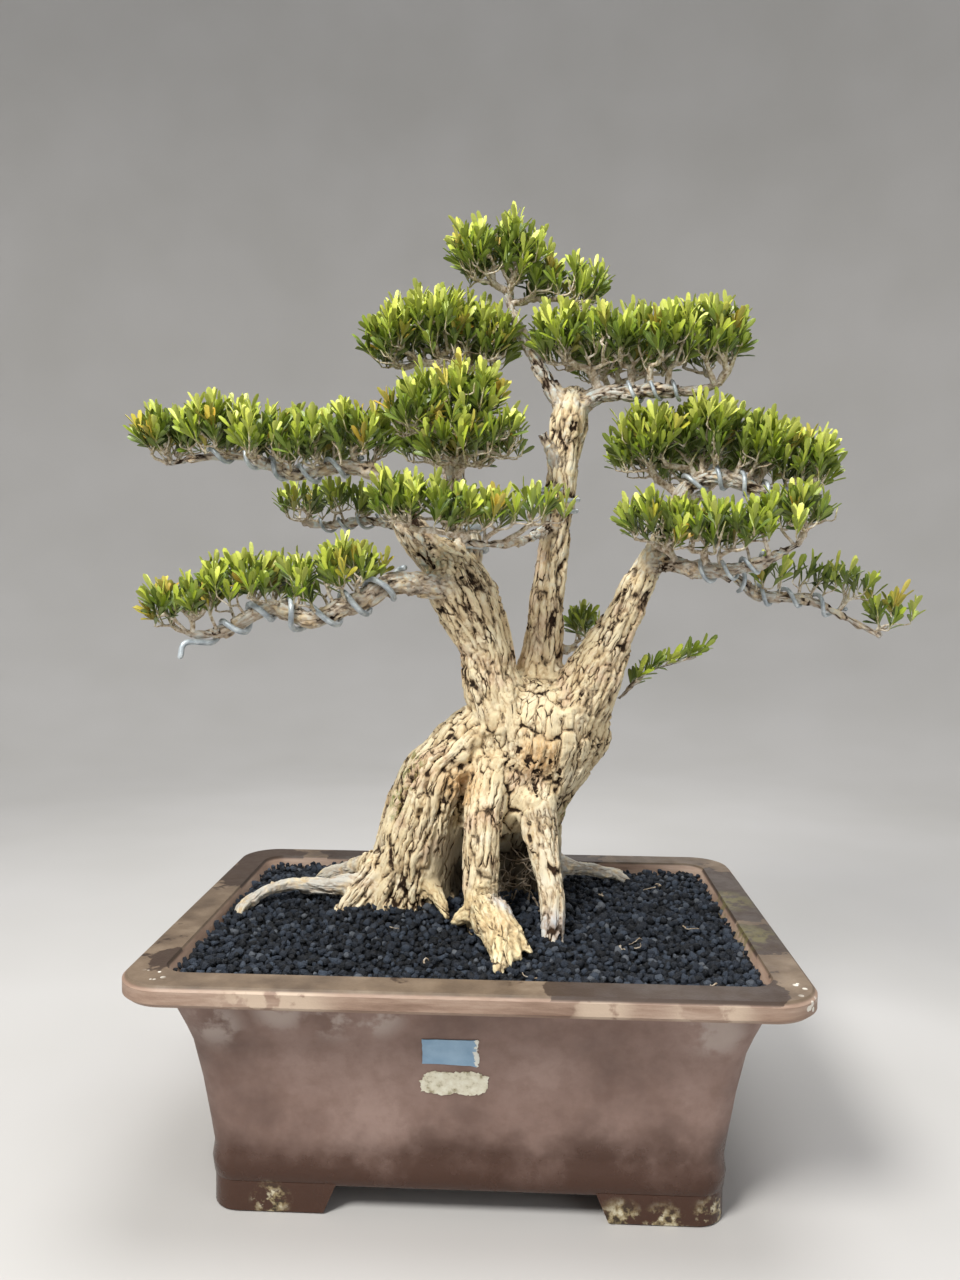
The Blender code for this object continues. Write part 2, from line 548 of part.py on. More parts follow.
def soil_slab(material):
    """A slab wider than the pot's mouth whose top is a relief of bumps, low round the edge."""
    draw = random.Random(21)
    columns = round(2 * MOUTH_HALF / SOIL_CELL) + 2
    rows = round(2 * (MOUTH_HALF - PLAN_DIFFERENCE) / SOIL_CELL) + 2
    stride = columns + 1
    jitter = 0.25
    top = []
    for j in range(rows + 1):
        for i in range(stride):
            x = SOIL_CELL * (i - columns / 2 + draw.uniform(-jitter, jitter))
            y = SOIL_CELL * (j - rows / 2 + draw.uniform(-jitter, jitter))
            away = math.hypot(x - MOUND_MIDDLE[0], y - MOUND_MIDDLE[1])
            mound = MOUND_HEIGHT * math.exp(-(away / MOUND_WIDTH) ** 2)
            top.append((x, y, SOIL_TOP + mound + draw.uniform(-1, 1) * SOIL_RELIEF))
    below = [(x, y, BODY_BOTTOM) for x, y, _ in top]
    faces = []
    for j in range(rows):
        for i in range(columns):
            a = j * stride + i
            quad = (a, a + 1, a + 1 + stride, a + stride)
            faces.append(quad)
            faces.append(tuple(len(top) + k for k in reversed(quad)))
    edge = list(range(stride))
    edge += [j * stride + columns for j in range(1, rows + 1)]
    edge += [rows * stride + i for i in range(columns - 1, -1, -1)]
    edge += [j * stride for j in range(rows - 1, 0, -1)]
    for a, b in zip(edge, edge[1:] + edge[:1]):
        faces.append((a, len(top) + a, len(top) + b, b))
    return add_object("soil", top + below, faces, material)


def build_soil(material):
    """Gravel that fills the pot, with plain holes for the trunk and roots and room for the screens."""
    soil = soil_slab(material)
    inset = GAP + FINE_GAP
    cavity = [rounded_rectangle(*row, inset=inset) for row in POT_INSIDE[1:-1]]
    half_length, z, corner = POT_INSIDE[-1]
    cavity.append(rounded_rectangle(half_length, z + GAP, corner, inset=inset))
    apply_boolean(soil, [add_object("cavity", *loft(cavity))], "INTERSECT", "MANIFOLD")
    holes = [add_object("hole", *shell) for shell in trunk_shells(grow=GAP + 2 * FINE_GAP, only_low=True)]
    recess = SCREEN_SIZE / 2 + GAP
    for side in (-1, 1):
        x = side * DRAIN_X
        holes.append(box("recess", (x - recess, -recess, BODY_BOTTOM),
                         (x + recess, recess, FLOOR_TOP + SCREEN_THICKNESS + 2 * GAP)))
    apply_boolean(soil, holes, "DIFFERENCE", "MANIFOLD")
    keep_largest(soil)
    return soil


def wood_path(name):
    """The rings of a limb or branch as modelled, with rows of x, y, z, radius between them."""
    return dense_points(route({**LIMBS, **BRANCHES}[name]))


def wood_sides(name):
    return LIMB_SIDES if name in LIMBS else WOOD_SIDES


def wire_path(name):
    """Helix on the corner lines of its branch, so that its straight steps run along the flat sides."""
    wood, start, end, steps, radius = WIRES[name]
    path = route({**LIMBS, **BRANCHES}[wood])
    along, across, off = frames(path)
    length = np.concatenate([[0.0], np.cumsum(np.linalg.norm(np.diff(path[:, :3], axis=0), axis=1))])
    table = np.hstack([path, off, across])
    sides = wood_sides(wood)
    points = []
    for k in range(steps + 1):
        place = length[-1] * (start + (end - start) * k / steps)
        row = np.array([np.interp(place, length, column) for column in table.T])
        out = row[3] + (radius + WIRE_GAP) / math.cos(math.pi / sides)
        angle = 2 * math.pi * k / sides
        points.append((*(row[:3] + out * (math.cos(angle) * row[4:7] + math.sin(angle) * row[7:10])), radius))
    if name == "left_low":
        points.extend((*point, radius) for point in WIRE_TAIL)
    return np.array(points)


def wire_shell(path, sides=WIRE_SIDES):
    """Closed tube whose section is carried along the path without twisting."""
    along = np.gradient(path[:, :3], axis=0)
    along /= np.linalg.norm(along, axis=1)[:, None]
    normal = np.cross(along[0], (0.3, 0.5, 0.8))
    rings = []
    for row, tangent in zip(path, along):
        normal = normal - tangent * normal.dot(tangent)
        normal /= np.linalg.norm(normal)
        side = np.cross(tangent, normal)
        angles = (2 * math.pi * k / sides for k in range(sides))
        rings.append([row[:3] + row[3] * (math.cos(a) * normal + math.sin(a) * side) for a in angles])
    return loft(rings)


def unit(vector):
    return vector / np.linalg.norm(vector)


def plane_of(axis):
    """Two unit vectors square to an axis and to each other."""
    helper = unit(np.cross(axis, (0.0, 0.0, 1.0) if abs(axis[2]) < 0.9 else (1.0, 0.0, 0.0)))
    return helper, np.cross(axis, helper)


def whorl_shell(foot, hub, axis, blades):
    """A twig that widens to its hub with the leaves round it, as one closed skin.

    Each leaf springs from one side of the twig's upper ring and is drawn up to a crown above the hub,
    which makes it thickest at its root. Its direction, length and width are None where it was left out.
    """
    count = len(blades)
    helper, third = plane_of(axis)
    vertices = []
    for centre, radius in ((foot, TWIG_FOOT), (hub, WHORL_NOTCH)):
        for angle, *_ in blades:
            notch = angle - math.pi / count
            vertices.append(centre + radius * (math.cos(notch) * helper + math.sin(notch) * third))
    crown = len(vertices)
    vertices.append(hub + WHORL_CROWN * axis)
    faces = [tuple(range(count))]
    for i, (angle, direction, length, width) in enumerate(blades):
        first = count + i
        second = count + (i + 1) % count
        faces.append((i, (i + 1) % count, second, first))
        if direction is None:
            faces.append((first, second, crown))
            continue
        side = np.cross(axis, math.cos(angle) * helper + math.sin(angle) * third)
        wide = hub + LEAF_WIDEST * length * direction
        left = len(vertices)
        tip = left + 1
        right = left + 2
        vertices.extend((wide - width / 2 * side, hub + length * direction, wide + width / 2 * side))
        faces.extend(((first, second, right), (first, right, left), (left, right, tip)))
        faces.extend(((crown, first, left), (crown, left, tip), (crown, tip, right), (crown, right, second)))
    return vertices, faces


def spine_path(name):
    """The twig that runs through the middle of every lobe of a spray."""
    centres = [np.array(lobe[:3]) for lobe in SPRAYS[name][1]]
    if len(centres) == 1:
        reach = np.array((0.001 * SPRAYS[name][1][0][3] - WHORL_REACH, 0.0, 0.0))
        centres = [centres[0] - reach, centres[0] + reach]
    return np.array([(*centre, SPINE_RADIUS) for centre in centres])


def wood_surface(trunk):
    shape = bmesh.new()
    shape.from_mesh(trunk.data)
    surface = BVHTree.FromBMesh(shape)
    shape.free()
    return surface


def seat(surface, start, out, radius):
    """Where a twig that comes back from a start ends, as near the wood as its skin stays a hair off it."""
    foot = np.array(surface.ray_cast(Vector(start), Vector(-out))[0])
    _, across, off = frames(np.array([(*foot, radius), (*start, radius)]))
    angles = (2 * math.pi * k / TWIG_SIDES for k in range(TWIG_SIDES))
    corners = [radius * (math.cos(a) * off[0] + math.sin(a) * across[0]) for a in angles]
    probes = [rise * out for rise in SEAT_RISES]
    for a, b in zip(corners, corners[1:] + corners[:1]):
        for share in SEAT_SHARES:
            edge = a + (b - a) * share
            probes.extend([edge / 2] + [edge + rise * out for rise in SEAT_RISES])
    while any(wood_distance(surface, foot + probe) < GAP for probe in probes):
        foot = foot + SEAT_STEP * out
    return foot


def wood_distance(surface, point):
    """Distance from the wood, less than nothing inside it."""
    nearest, normal, _, distance = surface.find_nearest(Vector(point))
    return distance if (Vector(point) - nearest).dot(normal) > 0 else -distance


def carriers(name, surface):
    """Twigs that carry one spray, from its branch up to its spine."""
    wood, lobes = SPRAYS[name]
    path = wood_path(wood)
    penalty = wired_places(name)
    twigs = []
    carried = (lobes[1], lobes[-2]) if len(lobes) > 3 else (lobes[len(lobes) // 2],)
    for lobe in carried:
        middle = np.array(lobe[:3])
        distance = np.linalg.norm(path[:, :3] - middle, axis=1) - path[:, 3] + penalty
        out = unit(middle - path[np.argmin(distance), :3])
        foot = seat(surface, middle, out, CARRIER_RADIUS)
        twigs.append(np.array([(*foot, CARRIER_RADIUS), (*middle, CARRIER_RADIUS)]))
    return twigs


def sprout_path(surface):
    path = route(SPROUT)
    path[0, :3] = seat(surface, path[1, :3], unit(path[1, :3] - path[0, :3]), path[0, 3])
    return path


def wired_places(name):
    """A penalty for each sample of the wood that has a wire near its top, where no twig may stand."""
    wood = SPRAYS[name][0]
    path = wood_path(wood)
    penalty = np.zeros(len(path))
    for wire in WIRES:
        if WIRES[wire][0] != wood:
            continue
        turns = wire_path(wire)
        for i, row in enumerate(path):
            top = row[:3] + np.array((0, 0, row[3]))
            near = np.min(np.linalg.norm(turns[:, :3] - top, axis=1))
            if near < WIRES[wire][4] + ROOM_WIRE:
                penalty[i] = 1.0
    return penalty


def dense_points(path, step=0.003):
    """Samples of x, y, z, radius along a path of straight steps."""
    out = []
    for a, b in zip(path, path[1:]):
        pieces = max(1, int(np.linalg.norm(b[:3] - a[:3]) / step))
        out.extend(a + (b - a) * t for t in np.arange(pieces) / pieces)
    out.append(path[-1])
    return np.array(out)


def mass_points(rows):
    """The trunk masses as balls of their mean radius, for keeping leaves off them."""
    return np.array([(row[1], row[2], row[0], max(row[3], row[4])) for row in rows])


def obstacles(surface):
    """Balls of x, y, z, radius with their owners: what a spray's leaves keep clear of, if not their own."""
    found = []
    owners = []

    def add(points, owner):
        found.append(points)
        owners.extend([owner] * len(points))

    for name in {**LIMBS, **BRANCHES}:
        add(wood_path(name), "wood")
    for rows in (LEFT_MASS, UPPER_TRUNK):
        add(mass_points(rows), "wood")
    for name in WIRES:
        add(dense_points(wire_path(name)), "wire")
    for name in SPRAYS:
        add(dense_points(spine_path(name)), name)
        for twig in carriers(name, surface):
            add(dense_points(twig), name)
    add(dense_points(sprout_path(surface)), "sprout")
    return np.vstack(found), np.array(owners)


def lobe_whorls(lobe, spine, draw):
    """Candidate whorls of a lobe, at even places round it: foot and hub of the twig, axis and blades."""
    middle = np.array(lobe[:3])
    sizes = 0.001 * np.array(lobe[3:])
    a, b, c = sizes
    power = 1.6
    area = 4 * math.pi * (((a * b) ** power + (a * c) ** power + (b * c) ** power) / 3) ** (1 / power)
    places = max(2, round(area / WHORL_SPREAD))
    turn = draw.uniform(0, 2 * math.pi)
    whorls = []
    for k in range(places):
        height = WHORL_HIGHEST + (WHORL_LOWEST - WHORL_HIGHEST) * (k + 0.5) / places
        angle = turn + math.pi * (3 - math.sqrt(5)) * k
        flat = math.sqrt(1 - height * height)
        ray = np.array((flat * math.cos(angle), flat * math.sin(angle), height))
        hub = middle + ray * np.maximum(sizes - WHORL_REACH, SHORTEST_TWIG)
        foot = spine[np.argmin(np.linalg.norm(spine[:, :3] - hub, axis=1)), :3]
        axis = unit(unit(hub - foot) + ray * sizes / sizes.max() + np.array((0, 0, WHORL_UPWARD)))
        whorls.append((foot, hub, axis, whorl_blades(axis, draw)))
    return whorls


def whorl_blades(axis, draw, count=None):
    """Each leaf of a whorl as its angle round the axis, its direction, length and width."""
    helper, third = plane_of(axis)
    count = count or draw.choice((4, 5, 5))
    start = draw.uniform(0, 2 * math.pi)
    blades = []
    for k in range(count):
        angle = start + 2 * math.pi * k / count
        radial = math.cos(angle) * helper + math.sin(angle) * third
        tilt = draw.uniform(*LEAF_TILT)
        direction = math.cos(tilt) * axis + math.sin(tilt) * radial
        length = LEAF_LENGTH * draw.uniform(0.9, 1.08)
        blades.append((angle, direction, length, LEAF_WIDTH * draw.uniform(0.9, 1.1)))
    return blades


def blade_points(hub, axis, blade):
    """Samples along a blade and at its widest corners, for keeping it clear of other pieces."""
    _, direction, length, width = blade
    side = unit(np.cross(axis, direction))
    middle = [hub + t * length * direction for t in (0.2, 0.4, 0.6, 0.8, 1.0)]
    edge = [hub + LEAF_WIDEST * length * direction + s * width / 2 * side for s in (-1, 1)]
    return np.array(middle + edge)


def is_clear(points, barrier, room):
    if not len(barrier):
        return True
    gaps = np.linalg.norm(points[:, None, :] - barrier[None, :, :3], axis=2) - barrier[None, :, 3]
    return gaps.min() > room


def sprout_whorls(path, draw):
    """Leaves in fours along the small sprout, to its left and right by turns, and at its tip."""
    along, across, _ = frames(path)
    whorls = []
    for i in range(1, len(path)):
        aside = across[i] * (1 if i % 2 else -1) if i < len(path) - 1 else along[i]
        axis = unit(0.6 * aside + along[i] + np.array((0, 0, 0.3)))
        whorls.append((path[i, :3], path[i, :3] + SPROUT_SHOOT * axis, axis, whorl_blades(axis, draw, 4)))
    return whorls


def choose_whorls(surface):
    """Whorls of every spray, with only the leaves that keep clear of wood, wires and other sprays."""
    barrier, owners = obstacles(surface)
    placed = np.zeros((0, 4))
    placed_owners = np.array([], dtype=str)
    wanted = [("sprout", sprout_whorls(sprout_path(surface), random.Random(5)))]
    for number, (name, (_, lobes)) in enumerate(SPRAYS.items()):
        draw = random.Random(100 + number)
        spine = dense_points(spine_path(name))
        wanted.append((name, [whorl for lobe in lobes for whorl in lobe_whorls(lobe, spine, draw)]))
    chosen = {}
    for name, whorls in wanted:
        chosen[name] = []
        fixed = barrier[owners != name]
        moving = placed[placed_owners != name]
        new = []
        for foot, hub, axis, blades in whorls:
            stem = dense_points(np.array((foot, hub)))
            if not (is_clear(stem, fixed, ROOM_FIXED) and is_clear(stem, moving, ROOM_MOVING)):
                continue
            kept = []
            for blade in blades:
                points = blade_points(hub, axis, blade)
                clear = is_clear(points, fixed, ROOM_FIXED) and is_clear(points, moving, ROOM_MOVING)
                kept.append(blade if clear else (blade[0], None, None, None))
                if clear:
                    new.append(points)
            if sum(blade[1] is not None for blade in kept) > 1:
                new.append(stem)
                chosen[name].append((foot, hub, axis, kept))
        if new:
            block = np.vstack(new)
            placed = np.vstack([placed, np.hstack([block, np.zeros((len(block), 1))])])
            placed_owners = np.concatenate([placed_owners, [name] * len(block)])
    return chosen


def whorl_objects(whorls):
    return [add_object("whorl", *whorl_shell(*whorl)) for whorl in whorls]


def build_spray(name, whorls, surface, material):
    if name == "sprout":
        spray = add_object("spray_sprout", *tube(sprout_path(surface), TWIG_SIDES), material)
        parts = []
    else:
        spray = add_object("spray_" + name, *tube(spine_path(name), SPINE_SIDES), material)
        parts = [add_object("carrier", *tube(twig, TWIG_SIDES)) for twig in carriers(name, surface)]
    apply_boolean(spray, parts + whorl_objects(whorls), "UNION", "MANIFOLD")
    keep_largest(spray)
    return spray


def wall_half_depth(z):
    """Half depth of the pot's outer wall at a height."""
    heights = [row[1] for row in POT_OUTSIDE]
    halves = [row[0] for row in POT_OUTSIDE]
    return float(np.interp(z, heights, halves)) - PLAN_DIFFERENCE


def build_sticker(name, outline, material):
    """Thin paper on the front wall, from an outline of x and height."""
    low_z = min(point[1] for point in outline)
    high_z = max(point[1] for point in outline)
    slope = (wall_half_depth(high_z) - wall_half_depth(low_z)) / (high_z - low_z)
    front = []
    back = []
    for x, z in outline:
        surface = -(wall_half_depth(low_z) + slope * (z - low_z))
        back.append((x, surface - GAP, z))
        front.append((x, surface - GAP - LABEL_THICKNESS, z))
    return add_object(name, *loft([back, front]), material)


def build_model():
    clear_scene()
    clay = finish_material("unglazed_clay", (0.23, 0.145, 0.115), 0.55)
    gravel = finish_material("black_gravel", (0.035, 0.038, 0.045), 0.8)
    bark = finish_material("pale_bark", (0.68, 0.57, 0.38), 0.85)
    leaf = finish_material("boxwood_leaf", (0.22, 0.33, 0.05), 0.45)
    wire = finish_material("aluminium_wire", (0.62, 0.63, 0.65), 0.35, 0.9)
    plastic = finish_material("black_plastic", (0.03, 0.03, 0.03), 0.6)
    label = finish_material("blue_paper", (0.36, 0.50, 0.62), 0.6)
    torn = finish_material("torn_paper", (0.74, 0.72, 0.62), 0.8)

    trunk = build_trunk(bark)
    surface = wood_surface(trunk)
    made = [build_pot(clay), build_soil(gravel), trunk]
    for number, side in ((1, -1), (2, 1)):
        made.append(build_screen(f"drain_screen_{number}", side * DRAIN_X, plastic))
    for name in WIRES:
        made.append(add_object("wire_" + name, *wire_shell(wire_path(name)), wire))
    for name, whorls in choose_whorls(surface).items():
        made.append(build_spray(name, whorls, surface, leaf))
    made.append(build_sticker("label", LABEL_OUTLINE, label))
    made.append(build_sticker("label_residue", RESIDUE_OUTLINE, torn))

    stand = bpy.data.objects.new("bonsai", None)
    bpy.context.scene.collection.objects.link(stand)
    stand.location = MODEL_SHIFT
    for item in made:
        item.parent = stand
    bpy.context.view_layer.update()


build_model()
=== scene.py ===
"""Looks of the boxwood bonsai in its unglazed clay pot.

Metres, +Z up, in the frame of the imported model; the tables of points are in millimetres from the middle
of the pot and are moved by MODEL_SHIFT. +X is the viewer's right, -Y faces the viewer.
"""
import itertools
import math
import random

import bmesh
import bpy
import numpy as np
from mathutils import Matrix, Vector


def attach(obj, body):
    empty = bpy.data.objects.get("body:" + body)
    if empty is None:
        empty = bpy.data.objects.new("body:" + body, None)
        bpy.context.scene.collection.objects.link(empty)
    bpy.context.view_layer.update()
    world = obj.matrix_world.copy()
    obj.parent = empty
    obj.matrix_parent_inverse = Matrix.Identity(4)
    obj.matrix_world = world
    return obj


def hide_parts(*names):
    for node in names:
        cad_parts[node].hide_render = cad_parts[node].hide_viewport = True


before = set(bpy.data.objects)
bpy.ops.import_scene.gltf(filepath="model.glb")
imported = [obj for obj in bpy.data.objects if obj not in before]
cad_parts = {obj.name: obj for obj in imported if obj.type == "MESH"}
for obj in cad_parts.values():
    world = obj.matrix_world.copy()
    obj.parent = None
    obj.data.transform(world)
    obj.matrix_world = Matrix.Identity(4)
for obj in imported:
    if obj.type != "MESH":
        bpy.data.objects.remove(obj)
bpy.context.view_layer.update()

MODEL_SHIFT = (-0.033, 0.0, 0.0)

# Camera: place from the middle of the pot, turns in degrees and focal length in photo pixels
CAMERA_PLACE = (0.03584, -0.77581, 0.43883)
CAMERA_YAW = -2.500
CAMERA_PITCH = 3.166
CAMERA_ROLL = 0.476
FOCAL_PIXELS = 984.17
PHOTO_HEIGHT = 1280
SENSOR = 36.0

# Driving dimensions of the pot
POT_HEIGHT = 0.180
RIM_LENGTH = 0.460
RIM_DEPTH = 0.336
LIP_HEIGHT = 0.0145
RIM_TOP_WIDTH = 0.0255
BODY_BOTTOM = 0.020
FLOOR_TOP = 0.032
FOOT_REACH = 0.180
FOOT_CORNER = 0.020
FOOT_FRONT_ARM = 0.090
FOOT_SIDE_ARM = 0.064
FOOT_WIDTH = 0.022
FOOT_SLANT = 0.009
FOOT_EDGE = 0.0012
DRAIN_X = 0.090
DRAIN_RADIUS = 0.011

# Driving dimensions of the soil and its mound round the trunk
SOIL_TOP = 0.173
MOUND_MIDDLE = (-0.010, 0.060)
MOUND_HEIGHT = 0.004
MOUND_WIDTH = 0.077

# The plan is a rectangle: its half depth is its half length less this
PLAN_DIFFERENCE = (RIM_LENGTH - RIM_DEPTH) / 2
LIP_BOTTOM = POT_HEIGHT - LIP_HEIGHT
# Heights between which the clay's damp foot dries, and the angle in degrees of its sharp edges
DAMP = (0.030, 0.080)
POT_SHARP = 38
RIM_HALF = RIM_LENGTH / 2
MOUTH_HALF = RIM_HALF - RIM_TOP_WIDTH

# Wall outside, bottom to top: half length, height, corner radius
POT_OUTSIDE = (
    (0.1785, BODY_BOTTOM, 0.018),
    (0.1806, 0.0235, 0.020),
    (0.1818, 0.0335, 0.021),
    (0.1803, 0.0445, 0.020),
    (0.1826, 0.0620, 0.021),
    (0.1870, 0.0940, 0.022),
    (0.1923, 0.1230, 0.023),
    (0.1966, 0.1360, 0.024),
    (0.2045, 0.1570, 0.026),
    (0.2090, LIP_BOTTOM - 0.001, 0.027),
    (RIM_HALF - 0.003, LIP_BOTTOM, 0.031),
    (RIM_HALF, LIP_BOTTOM + 0.003, 0.033),
    (RIM_HALF, POT_HEIGHT - 0.003, 0.033),
    (RIM_HALF - 0.003, POT_HEIGHT, 0.031),
)
# Wall inside, top to bottom
POT_INSIDE = (
    (MOUTH_HALF, POT_HEIGHT, 0.018),
    (MOUTH_HALF - 0.0015, POT_HEIGHT - 0.0025, 0.017),
    (0.1915, 0.1500, 0.016),
    (0.1780, 0.1000, 0.015),
    (0.1705, 0.0500, 0.014),
    (0.1660, FLOOR_TOP, 0.012),
)

# Trunk masses as level rings: height, middle x, middle y, half width, half depth
LEFT_MASS = ((138, -61, 66, 44, 48), (172, -63, 67, 49, 55), (204, -54, 64, 40, 50), (247, -43, 60, 38, 46),
    (286, -29, 56, 38, 42), (314, -8, 53, 34, 38), (336, 12, 50, 28, 30))
BACK_MASS = ((138, 30, 86, 42, 28), (172, 28, 92, 47, 33), (208, 26, 88, 46, 32), (240, 28, 78, 44, 34),
    (268, 32, 68, 40, 34))
UPPER_TRUNK = ((236, 22, 60, 48, 40), (262, 28, 57, 53, 46), (290, 41, 54, 58, 47), (314, 48, 51, 62, 46),
    (336, 48, 49, 58, 41), (354, 50, 48, 40, 30), (366, 51, 48, 16, 12))

MASSES = (("left", "ribbed", LEFT_MASS), ("back", "ribbed", BACK_MASS), ("upper", "plated", UPPER_TRUNK))

# Wood routes: points x, y, z with the radius, from the thick end to the tip
LIMBS = {
    "limb_left": ((22, 38, 328, 31), (10, 32, 362, 24), (6, 30, 388, 22), (-3, 26, 410, 25),
        (-12, 22, 430, 28), (-23, 20, 449, 25), (-33, 19, 463, 17)),
    "limb_left_outer": ((-30, 20, 455, 17), (-49, 15, 475, 14), (-62, 12, 495, 11), (-70, 10, 513, 9),
        (-81, 8, 527, 7), (-90, 6, 531, 6.5)),
    "limb_left_inner": ((-20, 22, 438, 17), (-11, 30, 466, 14), (-15, 40, 493, 11), (-21, 46, 526, 9),
        (-26, 48, 559, 7), (-30, 46, 596, 5)),
    "limb_centre": ((50, 50, 333, 26), (51, 50, 366, 20), (54, 48, 400, 15.5), (57, 46, 440, 14),
        (61, 45, 478, 13), (65, 43, 515, 13.5), (68, 41, 550, 14), (72, 40, 576, 15), (74, 40, 592, 12)),
    "limb_right": ((62, 42, 315, 34), (87, 36, 353, 28), (101, 30, 383, 20.5), (114, 24, 410, 15.5),
        (124, 18, 432, 13.5), (134, 12, 454, 11.5), (144, 10, 474, 9.5)),
    "leg_centre": ((14, 26, 292, 20), (7, 8, 264, 16.5), (5, -5, 238, 15), (5, -14, 208, 14.5),
        (5, -20, 180, 13), (6, -24, 150, 8)),
    "leg_right": ((44, 30, 280, 20), (50, 12, 248, 15), (55, -6, 220, 11.5), (60, -25, 196, 9.5),
        (60, -37, 173, 9), (59, -46, 152, 7)),
    "stump": ((2, -22, 188, 14), (9, -44, 184, 21), (18, -74, 177, 18), (21, -100, 168, 12),
        (21, -114, 158, 7)),
    "root_left": ((-86, 36, 188, 14), (-111, 36, 185, 9.5), (-138, 39, 184, 6.5), (-162, 38, 184, 5.5),
        (-180, 22, 181, 5), (-191, 1, 175, 4.5), (-191, -10, 162, 3)),
    "root_toe": ((-80, 46, 200, 17), (-98, 28, 181, 13), (-112, 14, 162, 8)),
    "root_back_left": ((-92, 78, 192, 14), (-118, 94, 182, 9), (-140, 104, 174, 6.5), (-152, 108, 162, 4)),
    "root_back_right": ((56, 88, 194, 14), (80, 98, 187, 8), (106, 104, 183, 6), (128, 107, 176, 5),
        (140, 108, 164, 3)),
    "stub_centre": ((64, 36, 533, 6), (55, 30, 553, 4.6), (50, 28, 562, 4)),
}
BRANCHES = {
    "left_middle": ((-78, 8, 526, 7), (-102, 4, 532, 6), (-121, 0, 529, 5.5), (-142, -2, 525, 5),
        (-167, 0, 533, 4.5), (-191, 2, 541, 4), (-212, 0, 539, 3.6), (-230, -2, 536, 3.2),
        (-247, 0, 533, 2.8)),
    "left_low": ((-16, 14, 436, 13), (-50, -11, 440, 9.5), (-68, -22, 439, 9), (-85, -28, 428, 8.5),
        (-104, -30, 421, 8), (-125, -32, 411, 7.5), (-141, -33, 417, 7), (-157, -34, 421, 6.5),
        (-174, -36, 412, 5.5), (-193, -38, 402, 4.5), (-215, -40, 400, 3.5)),
    "left_back": ((-58, 14, 488, 7), (-80, 48, 491, 4.5), (-108, 68, 493, 4), (-133, 80, 490, 3.5),
        (-156, 85, 493, 3)),
    "apex": ((70, 40, 578, 8), (52, 38, 608, 6.5), (38, 36, 632, 5.5), (26, 35, 655, 4.5),
        (21, 34, 672, 3.5)),
    "crown_right": ((72, 40, 579, 9), (93, 34, 593, 7.5), (118, 26, 594, 6.5), (142, 20, 595, 5.5),
        (167, 16, 593, 4.5), (187, 14, 598, 3.5)),
    "front": ((60, 40, 490, 6), (44, 12, 479, 4.5), (30, -10, 473, 3.8), (12, -32, 470, 3.3),
        (-6, -42, 470, 3)),
    "right_middle": ((139, 11, 464, 10), (153, 18, 496, 8), (163, 20, 516, 7), (180, 14, 526, 6.5),
        (203, 10, 522, 6), (226, 8, 513, 5), (248, 8, 508, 4), (266, 9, 506, 3)),
    "right_front": ((134, 12, 456, 9), (152, -10, 456, 7), (169, -30, 451, 6), (194, -40, 453, 5),
        (216, -44, 460, 4), (236, -45, 471, 3)),
    "right_low": ((160, -20, 453, 6.5), (190, 0, 452, 5.5), (207, 10, 444, 5.2), (220, 14, 434, 5),
        (238, 14, 432, 4.6), (259, 12, 430, 4.2), (280, 10, 421, 3.6), (300, 8, 410, 3),
        (314, 6, 403, 2.4)),
    "back_left": ((-18, 42, 506, 8), (-26, 80, 524, 5), (-32, 104, 534, 4), (-36, 118, 540, 3)),
    "back_right": ((148, 14, 484, 8), (168, 56, 503, 5.5), (186, 92, 517, 4.5), (198, 112, 524, 3.5)),
    "back_crown": ((70, 42, 570, 8), (88, 72, 594, 5), (106, 96, 610, 4), (120, 110, 616, 3)),
    "back_low": ((56, 52, 392, 8), (70, 80, 384, 4.5), (82, 94, 385, 3.5)),
}
SPROUT = ((116, 44, 345, 2.2), (129, 40, 360, 1.9), (144, 37, 371, 1.6), (161, 34, 377, 1.4),
    (176, 32, 383, 1.2))

ALL_WOOD = {**LIMBS, **BRANCHES}

